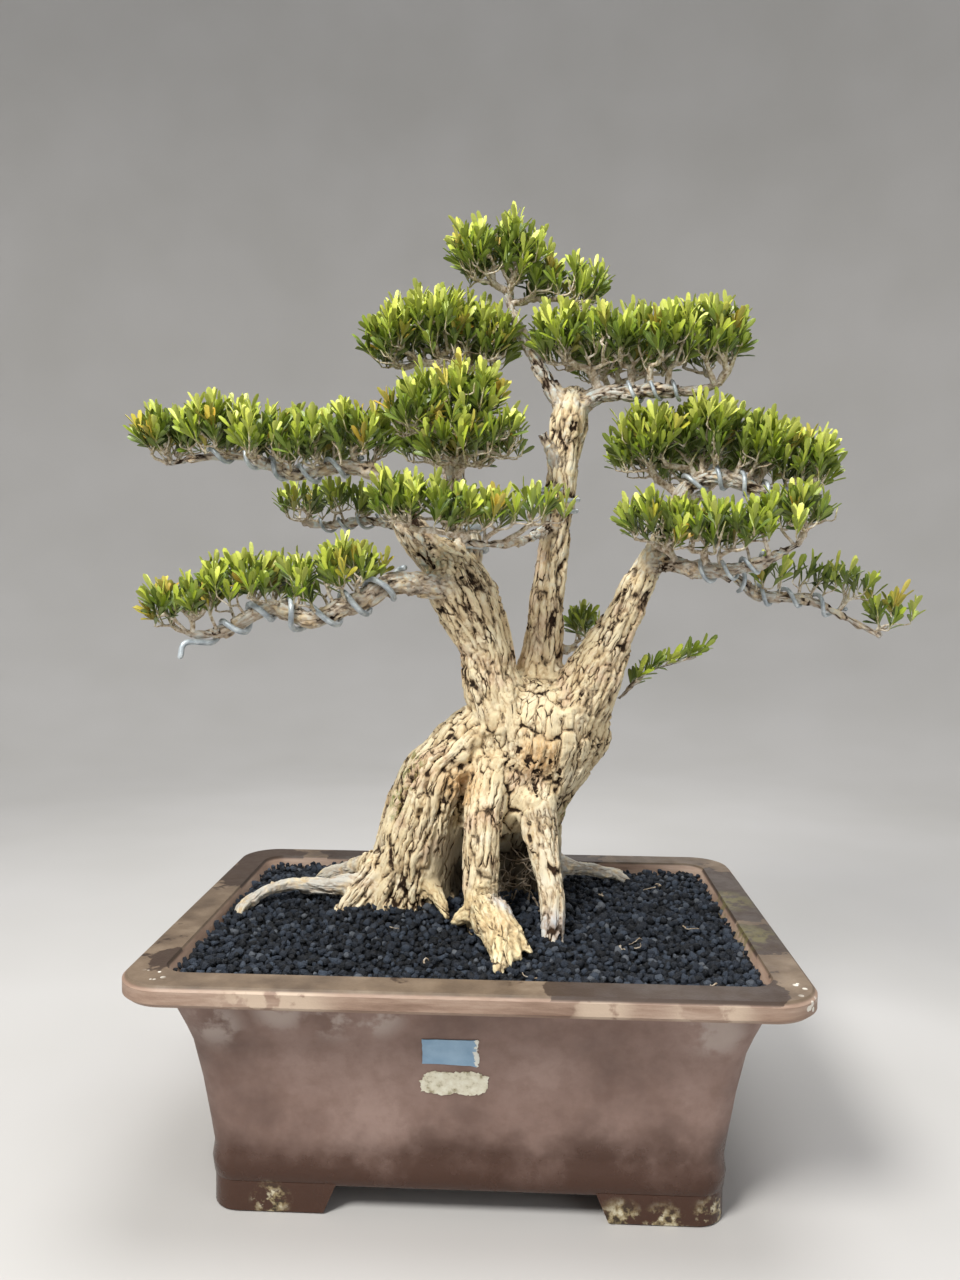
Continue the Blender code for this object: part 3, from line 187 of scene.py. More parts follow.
# Foliage lobes out to the leaf tips: middle x, y, z and half sizes in x, y, z, after the name of the
# branch that carries the spray
SPRAYS = {
    "left_middle": ("left_middle", ((-250, 2, 558, 23, 33, 24), (-211, 0, 562, 27, 38, 24),
        (-170, 0, 557, 27, 40, 27), (-131, 2, 552, 28, 40, 28), (-94, 4, 557, 27, 38, 25))),
    "left_low": ("left_low", ((-234, -42, 424, 21, 30, 21), (-203, -37, 431, 25, 36, 22),
        (-168, -34, 445, 26, 38, 22), (-131, -32, 440, 26, 38, 23), (-96, -28, 453, 26, 38, 21))),
    "left_back": ("left_back", ((-158, 90, 513, 26, 32, 20), (-116, 78, 514, 26, 30, 20))),
    "crown_left": ("limb_left_inner", ((-72, 40, 640, 27, 36, 29), (-34, 44, 650, 31, 40, 31),
        (4, 48, 642, 28, 38, 28))),
    "centre_left": ("limb_left_inner", ((-46, -6, 578, 29, 32, 27), (-8, -6, 586, 30, 32, 28),
        (-22, -18, 550, 31, 30, 24), (16, -14, 556, 24, 28, 24))),
    "centre_front": ("front", ((-56, -50, 504, 24, 30, 22), (-22, -58, 497, 25, 31, 22),
        (10, -58, 492, 25, 31, 21), (44, -50, 498, 27, 28, 18))),
    "apex": ("apex", ((-4, 34, 706, 24, 32, 27), (20, 36, 713, 27, 34, 27), (40, 36, 690, 26, 32, 24),
        (80, 38, 682, 27, 29, 21))),
    "crown_right": ("crown_right", ((66, 24, 638, 27, 32, 27), (106, 24, 636, 29, 38, 28),
        (146, 20, 632, 29, 40, 28), (184, 16, 638, 26, 36, 31))),
    "right_middle": ("right_middle", ((134, 28, 554, 30, 34, 31), (176, 22, 560, 31, 38, 30),
        (215, 20, 554, 31, 40, 28), (252, 14, 538, 29, 36, 27))),
    "right_front": ("right_front", ((132, -36, 490, 26, 28, 22), (165, -50, 483, 29, 32, 24),
        (200, -52, 485, 29, 32, 23), (234, -48, 498, 25, 28, 20))),
    "right_low": ("right_low", ((232, 16, 454, 22, 25, 18), (262, 14, 451, 22, 26, 18),
        (291, 12, 444, 22, 26, 18))),
    "right_tip": ("right_low", ((320, 6, 423, 19, 24, 21),)),
    "back_left": ("back_left", ((-50, 118, 572, 33, 33, 28), (-12, 122, 568, 31, 31, 27))),
    "back_right": ("back_right", ((178, 116, 552, 33, 33, 27), (216, 116, 556, 31, 31, 26))),
    "back_crown": ("back_crown", ((102, 108, 643, 31, 33, 26), (140, 112, 645, 31, 31, 25))),
    "back_low": ("back_low", ((88, 100, 407, 21, 26, 19),)),
}

# The stump's pointed wedge in place of the solid's round stump; toe_inner is the short root left of it
TOES = {
    "toe_left": ((6, -26, 190, 13), (-3, -29, 186, 9.5), (-14.5, -31, 180, 3)),
    "toe_right": ((12, -36, 188, 15), (28, -60, 182, 10.5), (44, -78, 175, 2.5)),
    "toe_front": ((10, -32, 190, 16), (18, -62, 183, 12), (21.5, -90, 177, 7), (22.5, -114, 171, 2.5)),
    "toe_web_left": ((10, -32, 189, 14), (8, -44, 185, 9), (13, -60, 178, 5)),
    "toe_web_front": ((16, -40, 188, 14), (24, -70, 181, 10), (27.5, -100, 173, 4)),
    "toe_web_right": ((16, -38, 188, 15), (27, -64, 182, 10), (35.5, -88, 174, 4)),
    "toe_inner": ((-36, 22, 190, 8), (-29, 4, 183, 5.5), (-22, -8, 176, 3)),
}

# Training wires: the wood they are wound on, start and end along it from 0 to 1, the number of steps
# from one side of the wood to the next, and the wire's radius in metres
WIRES = {
    "left_low": ("left_low", 0.22, 0.96, 40, 0.0023),
    "left_middle": ("left_middle", 0.10, 0.80, 30, 0.0018),
    "left_back": ("left_back", 0.42, 0.90, 18, 0.0013),
    "limb_left": ("limb_left_inner", 0.18, 0.36, 20, 0.0023),
    "limb_centre": ("limb_centre", 0.645, 0.715, 20, 0.0018),
    "right_middle": ("right_middle", 0.38, 0.84, 24, 0.0018),
    "right_front": ("right_front", 0.42, 0.80, 18, 0.0015),
    "right_low": ("right_low", 0.28, 0.82, 24, 0.0017),
    "crown_right": ("crown_right", 0.42, 0.76, 15, 0.0015),
}
# Sides of the solids' limbs and branches, rows of a wire for one turn, and its room to the wood
LIMB_CORNERS = 10
BRANCH_CORNERS = 6
WIRE_ROWS = 22
WIRE_GAP = 0.0005
# The end of the lowest wire on the left, which leaves its branch
WIRE_TAIL = ((-217, -49, 394), (-220, -52, 384))

# Sticker outlines as x and height, and how far their two skins lie off the wall
LABEL_OUTLINE = ((-29, 116), (8.5, 115), (9.5, 120), (8.5, 126.5), (9, 135.5), (-29, 135))
RESIDUE_OUTLINE = ((-30, 95), (-18, 92.5), (-4, 93.5), (8, 92.5), (14, 96), (16, 106), (6, 110.5),
    (-10, 109.5), (-24, 110), (-31, 103))
STICKER_SKINS = (0.0001, 0.0007)

# Trunk mesh: size of the remeshed grid, triangles kept, sides of the skins, step along their paths, how
# far the bark of two woods blends, radius of the wood left out of the grid, and where the skins start
TRUNK_GRID = 0.00118
TRUNK_TRIANGLES = 192000
MASS_SIDES = 56
LIMB_SIDES = 28
PATH_STEP = 0.005
BRANCH_STEP = 0.0025
BLEND_REACH = 0.0016
FINE_WOOD = 0.0042
BURIED = 0.158

# Each kind of bark: width of its plates, how many times longer they run along the wood, depth of the
# cracks, depth of the wide flutes, height of the lumps, share of crumbling, darkness of the cracks
BARKS = {
    "ribbed": (0.0080, 8.0, 0.0028, 0.0036, 0.0012, 0.15, 0.97),
    "plated": (0.0105, 3.0, 0.0026, 0.0, 0.0024, 0.4, 0.97),
    "leg": (0.0074, 6.5, 0.0022, 0.0, 0.0012, 0.1, 0.93),
    "limb": (0.0068, 7.0, 0.0023, 0.0, 0.0014, 0.15, 0.92),
    "root": (0.0052, 6.0, 0.0012, 0.0, 0.0012, 0.0, 0.62),
    "stump": (0.0042, 10.0, 0.0016, 0.0, 0.0018, 0.0, 0.84),
    "branch": (0.0044, 3.6, 0.0012, 0.0, 0.0010, 0.0, 0.86),
}
# Small splits in the plates, as a share of the plates' width; width and length of the crumbs
SPLIT_SHARE = 0.52
CRUMB = 0.0036
CRUMB_LENGTH = 0.0052
# How much farther a wood's own bark reaches into its neighbours'
OWNERSHIP = {"upper": 0.004, "left": 0.001, "toe_front": 0.004, "toe_left": 0.001, "toe_right": 0.001}
BARK_OF = {"leg_centre": "leg", "leg_right": "leg", "root_left": "root", "root_toe": "ribbed",
           "root_back_left": "root", "root_back_right": "root", "limb_left": "limb", "limb_centre": "limb",
           "limb_right": "limb", "limb_left_outer": "limb", "limb_left_inner": "limb"}

# Places on the trunk with looks of their own, and the painted shade of the hollow between and behind the legs
# (shade): x, y, z and reach
SPOTS = {
    "crumbly": ((-38, 5, 311, 30), (-4, 0, 302, 18), (32, 0, 301, 22), (56, 3, 286, 28), (54, 5, 384, 20),
        (91, 8, 356, 18), (-48, 12, 284, 20), (74, 20, 262, 20), (65, 20, 567, 22), (-22, 2, 443, 20),
        (-40, 2, 462, 20), (144, -2, 448, 20)),
    "wound": ((-10, 10, 274, 26), (50, 5, 304, 22)),
    "moss": ((-60, 30, 286, 26), (-72, 30, 260, 22), (75, 50, 233, 34), (-40, 4, 455, 22),
        (150, 0, 455, 20)),
    "bare": ((-22, 32, 214, 32), (-26, 26, 196, 24)),
    "shade": ((40, 58, 192, 52), (-10, 50, 188, 30)),
    "blue": ((62, -34, 178, 20), (26, -36, 194, 22)),
}

# Places on the pot with looks of their own: x, y, z and reach
POT_SPOTS = {
    "algae": ((203, -47, 178, 34), (203, 34, 178, 34)),
    "lime": ((-169, -145, 140, 28), (-89, -146, 150, 28), (-59, -146, 152, 26), (-124, -146, 154, 24),
        (166, -144, 145, 28)),
    "dry": ((88, -168, 172, 26), (158, -168, 174, 34), (-120, -168, 172, 50)),
    "specks": ((-207, -148, 180, 13), (221, -138, 180, 10), (219, -155, 172, 12)),
    "wet": ((81, -158, 179, 45), (118, -158, 179, 45), (155, -158, 179, 45), (185, -152, 179, 34),
        (213, -56, 180, 45), (212, 20, 180, 50), (208, 92, 180, 50), (-206, -117, 180, 22),
        (-200, 87, 180, 50), (-200, 140, 180, 45), (50, 155, 180, 80), (-100, 155, 180, 80)),
    "crust": ((-136, -120, 9, 17), (107, -120, 2, 20), (137, -120, 0, 20), (172, -117, 4, 22)),
}

# Leaves: size, fold along the middle, bend, the angle in degrees from which an edge is sharp, and
# shares along the blade with its width there
LEAF_LENGTH = 0.0182
LEAF_WIDTH = 0.0043
LEAF_THICKNESS = 0.00055
LEAF_FOLD = 0.0007
LEAF_BEND = 0.0016
LEAF_SHARP = 70
LEAF_STATIONS = ((0.30, 0.50), (0.70, 1.0), (0.92, 0.76))
TIP_REACH = 0.85 * LEAF_LENGTH
# Columns of a leaf's row: its length, brightness (its own tone with painted light and shade added) and luck
LONG, BRIGHT, LUCK = 9, 12, 14

# Shoots: how far apart, tries to place them, length, squareness of the lobes, shares without leaves
# and inside a lobe, unevenness, the lowest places of leaves and of shoots' feet in their lobe, the
# leaves' room to the wood, and the sprout's extra brightness
SHOOT_SPACING = 0.0096
SHOOT_TRIES = 3.2
SHOOT_LENGTH = (0.007, 0.014)
BOXY = 2.5
BARE_SHARE = 0.13
INNER_SHARE = 0.25
UNEVEN = 0.16
LOWEST_LEAF = -0.70
LOWEST_FOOT = -0.85
ROOM_TO_WOOD = 0.0022
SPROUT_LIGHT = 0.55
# Sprays whose shoots stand farther apart, and sprays with more yellow shoots
SPARSE = {"right_low": 1.22, "right_tip": 1.15, "left_back": 1.1}
AUTUMN = {"right_low": 0.25, "right_tip": 0.5, "left_middle": 0.14, "left_low": 0.12}
# Twigs: sides, radius at the tip, and the power by which it grows with the shoots they feed
TWIG_SIDES = 4
TIP_RADIUS = 0.00066
FORK_POWER = 0.45

# Loose bits: thin dry roots in the hollow between the legs, how far right they reach, and straws
ROOTLETS = 48
ROOTLETS_END = 0.064
STRAWS = 14

# Gravel: space for a grain, kinds of grains, the points round each, their room to the wall, the
# mouth's corner, and how far the bed under them lies below and off the wall
GRAIN = 0.0057
GRAIN_KINDS = 14
GRAIN_POINTS = 20
GRAIN_INSET = 0.0022
MOUTH_CORNER = 0.016
BED_SUNK = 0.0035
BED_GAP = 0.0005

# Stage: how far the flat floor reaches, the radius of its sweep and the height of the wall
FLOOR_REACH = 1.5
SWEEP = 1.2
WALL_HEIGHT = 2.6

# Lights that look at the middle of the tree: place, size, power and colour; and the sky's light
LIGHTS = {
    "key": ((-0.70, -1.05, 1.60), 0.6, 38, (1.0, 0.985, 0.95)),
    "top": ((0.1, 0.0, 2.0), 1.0, 20, (1.0, 1.0, 1.0)),
    "fill": ((1.2, -1.2, 0.7), 1.2, 5, (0.94, 0.97, 1.0)),
    "back": ((0.3, 1.4, 1.3), 1.0, 6, (1.0, 1.0, 1.0)),
}
LIGHTS_LOOK_AT = (0.0, 0.0, 0.35)
SKY_COLOUR = (0.93, 0.96, 1.0, 1.0)
SKY_STRENGTH = 0.42

RANDOM_SEED = 4711


def shifted(points):
    return np.asarray(points, dtype=float) + np.array(MODEL_SHIFT)


def paint(red, green, blue):
    """Linear colour of a screen colour given from 0 to 255."""
    return tuple((c / 255) ** 2.2 for c in (red, green, blue)) + (1.0,)


def unit(vectors):
    vectors = np.asarray(vectors, dtype=float)
    return vectors / np.maximum(np.linalg.norm(vectors, axis=-1, keepdims=True), 1e-12)


def ease(values, low, high):
    """Smooth step from 0 at low to 1 at high."""
    t = np.clip((values - low) / (high - low), 0.0, 1.0)
    return t * t * (3 - 2 * t)


def random_of(cells, salt):
    """One even random number from 0 to 1 for every whole-number cell."""
    mixed = cells[..., 0] * 374761393 + cells[..., 1] * 668265263 + cells[..., 2] * 362437 + salt * 974634777
    mixed = (mixed ^ (mixed >> 13)) * 1274126177
    mixed = (mixed ^ (mixed >> 16)) * 668265263
    mixed = mixed ^ (mixed >> 15)
    return (mixed & 0xFFFFFF) / float(0xFFFFFF)


def waves(points, salt):
    """Smooth random field from -1 to 1 with about one bump a unit."""
    base = np.floor(points).astype(np.int64)
    t = points - base
    t = t * t * (3 - 2 * t)
    total = np.zeros(len(points))
    for corner in itertools.product((0, 1), repeat=3):
        weight = np.prod(np.where(corner, t, 1 - t), axis=1)
        total += weight * random_of(base + np.array(corner), salt)
    return 2 * total - 1


def layered(points, salt, layers=3):
    total = np.zeros(len(points))
    for k in range(layers):
        total += waves(points * 2 ** k, salt + k) / 2 ** k
    return total / 1.6


def plates(points, salt):
    """Distance to the nearest border between cells, a random number of the cell and the place along it."""
    base = np.floor(points).astype(np.int64)
    first = np.full(len(points), 9.0)
    second = np.full(len(points), 9.0)
    near = np.zeros((len(points), 3))
    next_near = np.zeros((len(points), 3))
    tone = np.zeros(len(points))
    for offset in itertools.product((-1, 0, 1), repeat=3):
        cell = base + np.array(offset)
        draw = random_of(cell, salt)
        centre = cell + 0.1 + 0.8 * np.stack([draw, random_of(cell, salt + 1), random_of(cell, salt + 2)], 1)
        away = np.sum((points - centre) ** 2, axis=1)
        closest = away < first
        closer = ~closest & (away < second)
        second = np.where(closest, first, np.where(closer, away, second))
        next_near = np.where(closest[:, None], near, np.where(closer[:, None], centre, next_near))
        first = np.where(closest, away, first)
        near = np.where(closest[:, None], centre, near)
        tone = np.where(closest, draw, tone)
    apart = np.linalg.norm(next_near - near, axis=1)
    return (second - first) / (2 * np.maximum(apart, 1e-6)), tone, (points - near)[:, 2]


def smooth_rows(rows, step):
    """Rows on a smooth curve through the given ones, about a step apart by their first three columns."""
    rows = np.array(rows, dtype=float)
    rows = np.vstack([2 * rows[0] - rows[1], rows, 2 * rows[-1] - rows[-2]])
    samples = []
    for a, b, c, d in zip(rows, rows[1:], rows[2:], rows[3:]):
        pieces = max(1, round(np.linalg.norm(c[:3] - b[:3]) / step))
        for t in np.arange(pieces) / pieces:
            curve = 2 * b + (c - a) * t + (2 * a - 5 * b + 4 * c - d) * t ** 2
            samples.append(0.5 * (curve + (3 * b - a - 3 * c + d) * t ** 3))
    samples.append(rows[-2])
    return np.array(samples)


def wood_route(points, step=PATH_STEP):
    """Rows of x, y, z, radius along a wood route."""
    rows = np.array(points, dtype=float)
    rows[:, 3] *= 0.001
    rows[:, :3] = shifted(rows[:, :3] / 1000)
    return smooth_rows(rows, step)


def distance_along(path):
    steps = np.linalg.norm(np.diff(path[:, :3], axis=0), axis=1)
    return np.concatenate([[0.0], np.cumsum(steps)])


def level_ring(middle, half_x, half_y, sides):
    """Points round a level ellipse."""
    angles = 2 * np.pi * np.arange(sides) / sides
    return middle + np.stack([half_x * np.cos(angles), half_y * np.sin(angles), 0 * angles], axis=1)


def turned_frames(path):
    """Unit vectors along and square to a path, carried along it without twisting."""
    along = unit(np.gradient(path[:, :3], axis=0))
    normal = np.cross(along[0], (0.31, 0.52, 0.79))
    normals = []
    for tangent in along:
        normal = normal - tangent * normal.dot(tangent)
        normal = normal / np.linalg.norm(normal)
        normals.append(normal)
    normals = np.array(normals)
    return along, normals, np.cross(along, normals)


def loft(rings):
    """Vertices and faces of a closed skin over rings of equal length."""
    rings = np.asarray(rings, dtype=float)
    levels, count = rings.shape[:2]
    here = np.arange(levels - 1)[:, None] * count
    i = np.arange(count)[None, :]
    j = (i + 1) % count
    quads = np.stack([here + i, here + j, here + count + j, here + count + i], axis=-1).reshape(-1, 4)
    ends = [list(range(count))[::-1], [(levels - 1) * count + k for k in range(count)]]
    return rings.reshape(-1, 3), quads.tolist() + ends


def round_tube(path, sides, rounded=True):
    """Closed skin round rows of x, y, z, radius, with a rounded far end."""
    along, first, second = turned_frames(path)
    angles = (2 * np.pi * np.arange(sides) / sides)[None, :, None]
    circle = np.cos(angles) * first[:, None, :] + np.sin(angles) * second[:, None, :]
    rings = list(path[:, None, :3] + path[:, 3][:, None, None] * circle)
    if rounded:
        for rise, narrow in ((0.45, 0.86), (0.8, 0.5), (0.92, 0.2)):
            middle = path[-1, :3] + rise * path[-1, 3] * along[-1]
            rings.append(middle + narrow * path[-1, 3] * circle[-1])
    return loft(rings)


def smooth_mass(rows):
    """Trunk mass as a smooth skin over level ellipses, from just under the gravel."""
    rows = smooth_rows(np.array(rows) / 1000, PATH_STEP)
    return loft([level_ring(shifted((x, y, z)), half_width, half_depth, MASS_SIDES)
                 for z, x, y, half_width, half_depth in rows if z >= BURIED])


def mass_path(rows):
    """Rows of x, y, z, mean radius through the middle of a trunk mass."""
    rows = smooth_rows(np.array(rows) / 1000, PATH_STEP)
    return np.hstack([shifted(rows[:, [1, 2, 0]]), rows[:, 3:].mean(axis=1, keepdims=True)])


def new_object(name, vertices, faces, material=None, smooth=True):
    mesh = bpy.data.meshes.new(name)
    mesh.from_pydata(np.asarray(vertices).tolist(), [], faces)
    mesh.update()
    if smooth:
        mesh.shade_smooth()
    made = bpy.data.objects.new(name, mesh)
    bpy.context.scene.collection.objects.link(made)
    if material:
        mesh.materials.append(material)
    return made


def joined(shells):
    """One list of vertices and faces from several."""
    vertices = []
    faces = []
    start = 0
    for points, sides in shells:
        vertices.append(np.asarray(points))
        faces.extend([[start + k for k in face] for face in sides])
        start += len(points)
    return np.vstack(vertices), faces


def point_values(made, name, values, kind="FLOAT", field="value"):
    layer = made.data.attributes.new(name, kind, "POINT")
    layer.data.foreach_set(field, np.asarray(values, dtype=np.float32).ravel())


def vertex_arrays(mesh):
    """Places and normals of a mesh's vertices."""
    found = []
    for source, field in ((mesh.vertices, "co"), (mesh.vertex_normals, "vector")):
        flat = np.zeros(len(mesh.vertices) * 3, dtype=np.float32)
        source.foreach_get(field, flat)
        found.append(flat.reshape(-1, 3).astype(float))
    return found


def evaluated(made):
    """Apply an object's modifiers to its mesh."""
    bpy.context.view_layer.update()
    graph = bpy.context.evaluated_depsgraph_get()
    mesh = bpy.data.meshes.new_from_object(made.evaluated_get(graph))
    made.modifiers.clear()
    made.data = mesh


def in_place(made, slot, *nodes):
    """A finished piece: it rides on the one body and stands for CAD nodes; its slot is not used."""
    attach(made, "root")
    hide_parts(*nodes)


class Paint:
    """A procedural material. Each call adds one kind of node and gives its output."""

    def __init__(self, name):
        self.material = bpy.data.materials.new(name)
        self.material.use_nodes = True
        self.tree = self.material.node_tree
        self.place = self.node("TexCoord", "Object")

    def node(self, kind, output, inputs=(), **settings):
        """The output of a new node, whose inputs get values or other nodes' outputs."""
        made = self.tree.nodes.new("ShaderNode" + kind)
        for name, value in settings.items():
            setattr(made, name, value)
        for name, value in dict(inputs).items():
            self.put(made.inputs[name], value)
        return made.outputs[output]

    def put(self, socket, value):
        if isinstance(value, bpy.types.NodeSocket):
            self.tree.links.new(value, socket)
        else:
            socket.default_value = value

    def stretched(self, scale, source=None):
        return self.node("Mapping", "Vector", {"Vector": source or self.place, "Scale": scale})

    def noise(self, scale, detail=4.0, roughness=0.55, place=None, output="Fac"):
        return self.node("TexNoise", output, {"Vector": place or self.place, "Scale": scale,
                                              "Detail": detail, "Roughness": roughness})

    def cells(self, scale, feature="F1", place=None):
        return self.node("TexVoronoi", "Distance", {"Vector": place or self.place, "Scale": scale},
                         feature=feature)

    def value(self, name, output="Fac"):
        """A value kept on the points."""
        return self.node("Attribute", output, attribute_name=name)

    def channels(self, name):
        """The three parts of a colour kept on the points."""
        return self.node("SeparateColor", 0, {"Color": self.value(name, "Color")}).node.outputs

    def levels(self, value, low, high, to_low=0.0, to_high=1.0):
        return self.node("MapRange", "Result", {"Value": value, "From Min": low, "From Max": high,
                                                "To Min": to_low, "To Max": to_high},
                         interpolation_type="SMOOTHSTEP")

    def math(self, operation, first, second):
        return self.node("Math", "Value", {0: first, 1: second}, operation=operation)

    def times(self, first, second):
        return self.math("MULTIPLY", first, second)

    def blend(self, share, first, second):
        return self.node("Mix", 0, {0: share, 2: first, 3: second}, data_type="FLOAT")

    def mix(self, share, first, second):
        """From the first colour to the second, which may be a screen colour."""
        second = paint(*second) if isinstance(second, tuple) else second
        return self.node("Mix", 2, {0: share, 6: first, 7: second}, data_type="RGBA")

    def spots(self, name):
        """1 at the places of one kind in POT_SPOTS, fading to 0 at their reach."""
        found = 0.0
        for *place, reach in np.array(POT_SPOTS[name]) / 1000:
            away = self.node("VectorMath", "Value", {0: self.place, 1: shifted(place)}, operation="DISTANCE")
            found = self.math("MAXIMUM", self.levels(away, 0.35 * reach, reach, 1.0, 0.0), found)
        return found

    def axis(self, name):
        return self.node("SeparateXYZ", name, {"Vector": self.place})

    def ramp(self, value, *stops):
        """Screen colours at places from 0 to 1."""
        colour = self.node("ValToRGB", "Color", {"Fac": value})
        ends = colour.node.color_ramp.elements
        while len(ends) < len(stops):
            ends.new(0.5)
        for end, (place, shade) in zip(ends, stops):
            end.position = place
            end.color = paint(*shade)
        return colour

    def bump(self, height, distance, strength):
        return self.node("Bump", "Normal", {"Height": height, "Distance": distance, "Strength": strength})

    def finish(self, colour, roughness, normal=None, specular=0.5, metallic=0.0):
        shader = self.tree.nodes["Principled BSDF"]
        self.put(shader.inputs["Base Color"], colour)
        self.put(shader.inputs["Roughness"], roughness)
        shader.inputs["Specular IOR Level"].default_value = specular
        shader.inputs["Metallic"].default_value = metallic
        if normal:
            self.put(shader.inputs["Normal"], normal)
        return self.material


def bark_paint():
    p = Paint("pale_bark")
    furrow = p.value("furrow")
    plate = p.value("plate")
    thin = p.value("thin")
    grain = p.value("grain", "Vector")
    seam = p.value("seam")
    fibre = p.noise(700, 4, 0.62, p.stretched((1.0, 1.0, 0.16), grain))
    fibre = p.blend(seam, fibre, 0.5)
    flake = p.noise(260, 4, 0.6, p.stretched((1.0, 1.0, 0.45), grain))
    flake = p.blend(seam, flake, p.noise(260, 4))
    bark = p.ramp(p.noise(55, 5), (0.30, (212, 191, 152)), (0.45, (231, 213, 173)), (0.58, (240, 226, 190)),
                  (0.74, (247, 239, 214)))
    # From the bottom layer up: how strongly each tint covers the bark, and its colour
    patches = p.noise(190, 5)
    tints = (
        (p.levels(plate, 0.45, 1.0, 0.0, 0.7), (238, 220, 182)),
        (p.levels(plate, 0.0, 0.35, 0.35, 0.0), (204, 181, 145)),
        (p.levels(p.noise(30, 3), 0.54, 0.68, 0.0, 0.55), (216, 182, 158)),
        (p.times(p.value("fibrous"), 0.35), (222, 204, 146)),
        (p.times(p.value("wound"), p.levels(flake, 0.38, 0.62, 0.25, 0.9)), (222, 172, 108)),
        (p.times(p.value("moss"), p.levels(patches, 0.46, 0.60)), (122, 132, 76)),
        (p.levels(fibre, 0.50, 0.74, 0.0, 0.42), (158, 130, 98)),
        (p.levels(flake, 0.50, 0.72, 0.0, 0.55), (244, 234, 206)),
        (p.times(p.value("bare"), 0.85), (176, 160, 132)),
        (p.times(p.value("blue"), p.levels(flake, 0.3, 0.6, 0.4, 0.9)), (204, 212, 222)),
        (p.times(thin, p.levels(p.noise(110, 4), 0.28, 0.54)), (196, 193, 184)),
        (p.times(p.value("lichen"), p.levels(patches, 0.52, 0.62)), (208, 218, 216)),
    )
    for share, tint in tints:
        bark = p.mix(share, bark, tint)
    dark = p.ramp(p.noise(300, 3), (0.35, (28, 20, 14)), (0.65, (62, 45, 31)))
    bent = p.node("VectorMath", "Vector", {0: p.noise(110, 2, 0.5, output="Color"), 1: (0.004, 0.004, 0.004),
                                           2: grain}, operation="MULTIPLY_ADD")
    hairline = p.cells(1.0, "DISTANCE_TO_EDGE", p.stretched((150, 150, 30), bent))
    split = p.times(p.levels(hairline, 0.02, 0.10, 1.0, 0.0), p.levels(p.noise(60, 3), 0.40, 0.56))
    split = p.times(split, p.levels(seam, 0.0, 0.3, 0.8, 0.0))
    furrow = p.math("MAXIMUM", furrow, p.times(split, p.levels(thin, 0.0, 1.0, 0.95, 0.55)))
    ragged = p.math("ADD", furrow, p.levels(flake, 0.35, 0.75, 0.08, -0.14))
    bark = p.mix(p.levels(ragged, 0.28, 0.64, 0.0, 0.50), bark, (164, 128, 88))
    bark = p.mix(p.levels(ragged, 0.58, 0.83), bark, dark)
    # Painted shade: the hollow between and behind the legs darkened to near black
    bark = p.mix(p.times(p.value("shade"), 0.9), bark, (36, 28, 20))
    rough = p.levels(p.noise(1600, 3, 0.6), 0.3, 0.7, 0.78, 0.92)
    relief = p.math("ADD", p.times(fibre, 0.6), p.times(flake, 0.6))
    relief = p.math("SUBTRACT", relief, p.times(split, 0.7))
    return p.finish(bark, rough, p.bump(relief, 0.0013, 0.9), 0.22)


def twig_paint():
    p = Paint("twig_bark")
    tone = p.ramp(p.noise(320, 4), (0.30, (132, 110, 86)), (0.46, (196, 178, 154)),
                  (0.64, (232, 224, 210)))
    aged = p.mix(p.value("old"), tone, (92, 74, 52))
    colour = p.mix(p.value("young"), aged, (134, 138, 66))
    return p.finish(colour, 0.8, p.bump(p.noise(900, 3), 0.0004, 0.7), specular=0.3)


def leaf_paint():
    p = Paint("boxwood_leaf")
    bright, yellow, luck = p.channels("tint")
    across, along, side = p.channels("shape")
    # The brightness channel carries painted light and shade: the ramp's dark end is for inner and low leaves,
    # its light end for outer and top ones
    leaf = p.ramp(bright, (0.0, (24, 36, 12)), (0.30, (56, 78, 20)), (0.55, (108, 130, 32)),
                  (0.78, (174, 188, 56)), (1.0, (220, 224, 108)))
    tints = (
        (yellow, (216, 168, 66)),
        (p.levels(luck, 0.4, 1.0, 0.0, 0.30), (84, 108, 44)),
        (p.levels(along, 0.0, 0.30, 0.40, 0.0), (160, 150, 84)),
        (p.levels(across, 0.0, 0.16, 0.40, 0.0), (192, 200, 110)),
        (p.levels(side, 0.2, 0.8, 0.45, 0.0), (132, 146, 78)),
        (p.levels(p.noise(700, 3), 0.35, 0.7, 0.0, 0.18), (110, 124, 36)),
    )
    for share, tint in tints:
        leaf = p.mix(share, leaf, tint)
    rough = p.levels(p.noise(500, 2), 0.3, 0.7, 0.36, 0.50)
    return p.finish(leaf, rough, p.bump(p.noise(900, 3), 0.0003, 0.5))


def gravel_paint():
    p = Paint("black_gravel")
    tone = p.value("tone")
    colour = p.ramp(tone, (0.0, (22, 25, 30)), (0.5, (40, 46, 56)), (0.88, (60, 68, 80)),
                    (1.0, (92, 96, 102)))
    dust = p.mix(p.levels(p.noise(900, 4), 0.55, 0.8, 0.0, 0.35), colour, (96, 104, 116))
    holes = p.cells(1100)
    rough = p.levels(p.noise(400, 3), 0.3, 0.7, 0.62, 0.86)
    return p.finish(dust, rough, p.bump(holes, 0.0009, 0.9), specular=0.35)


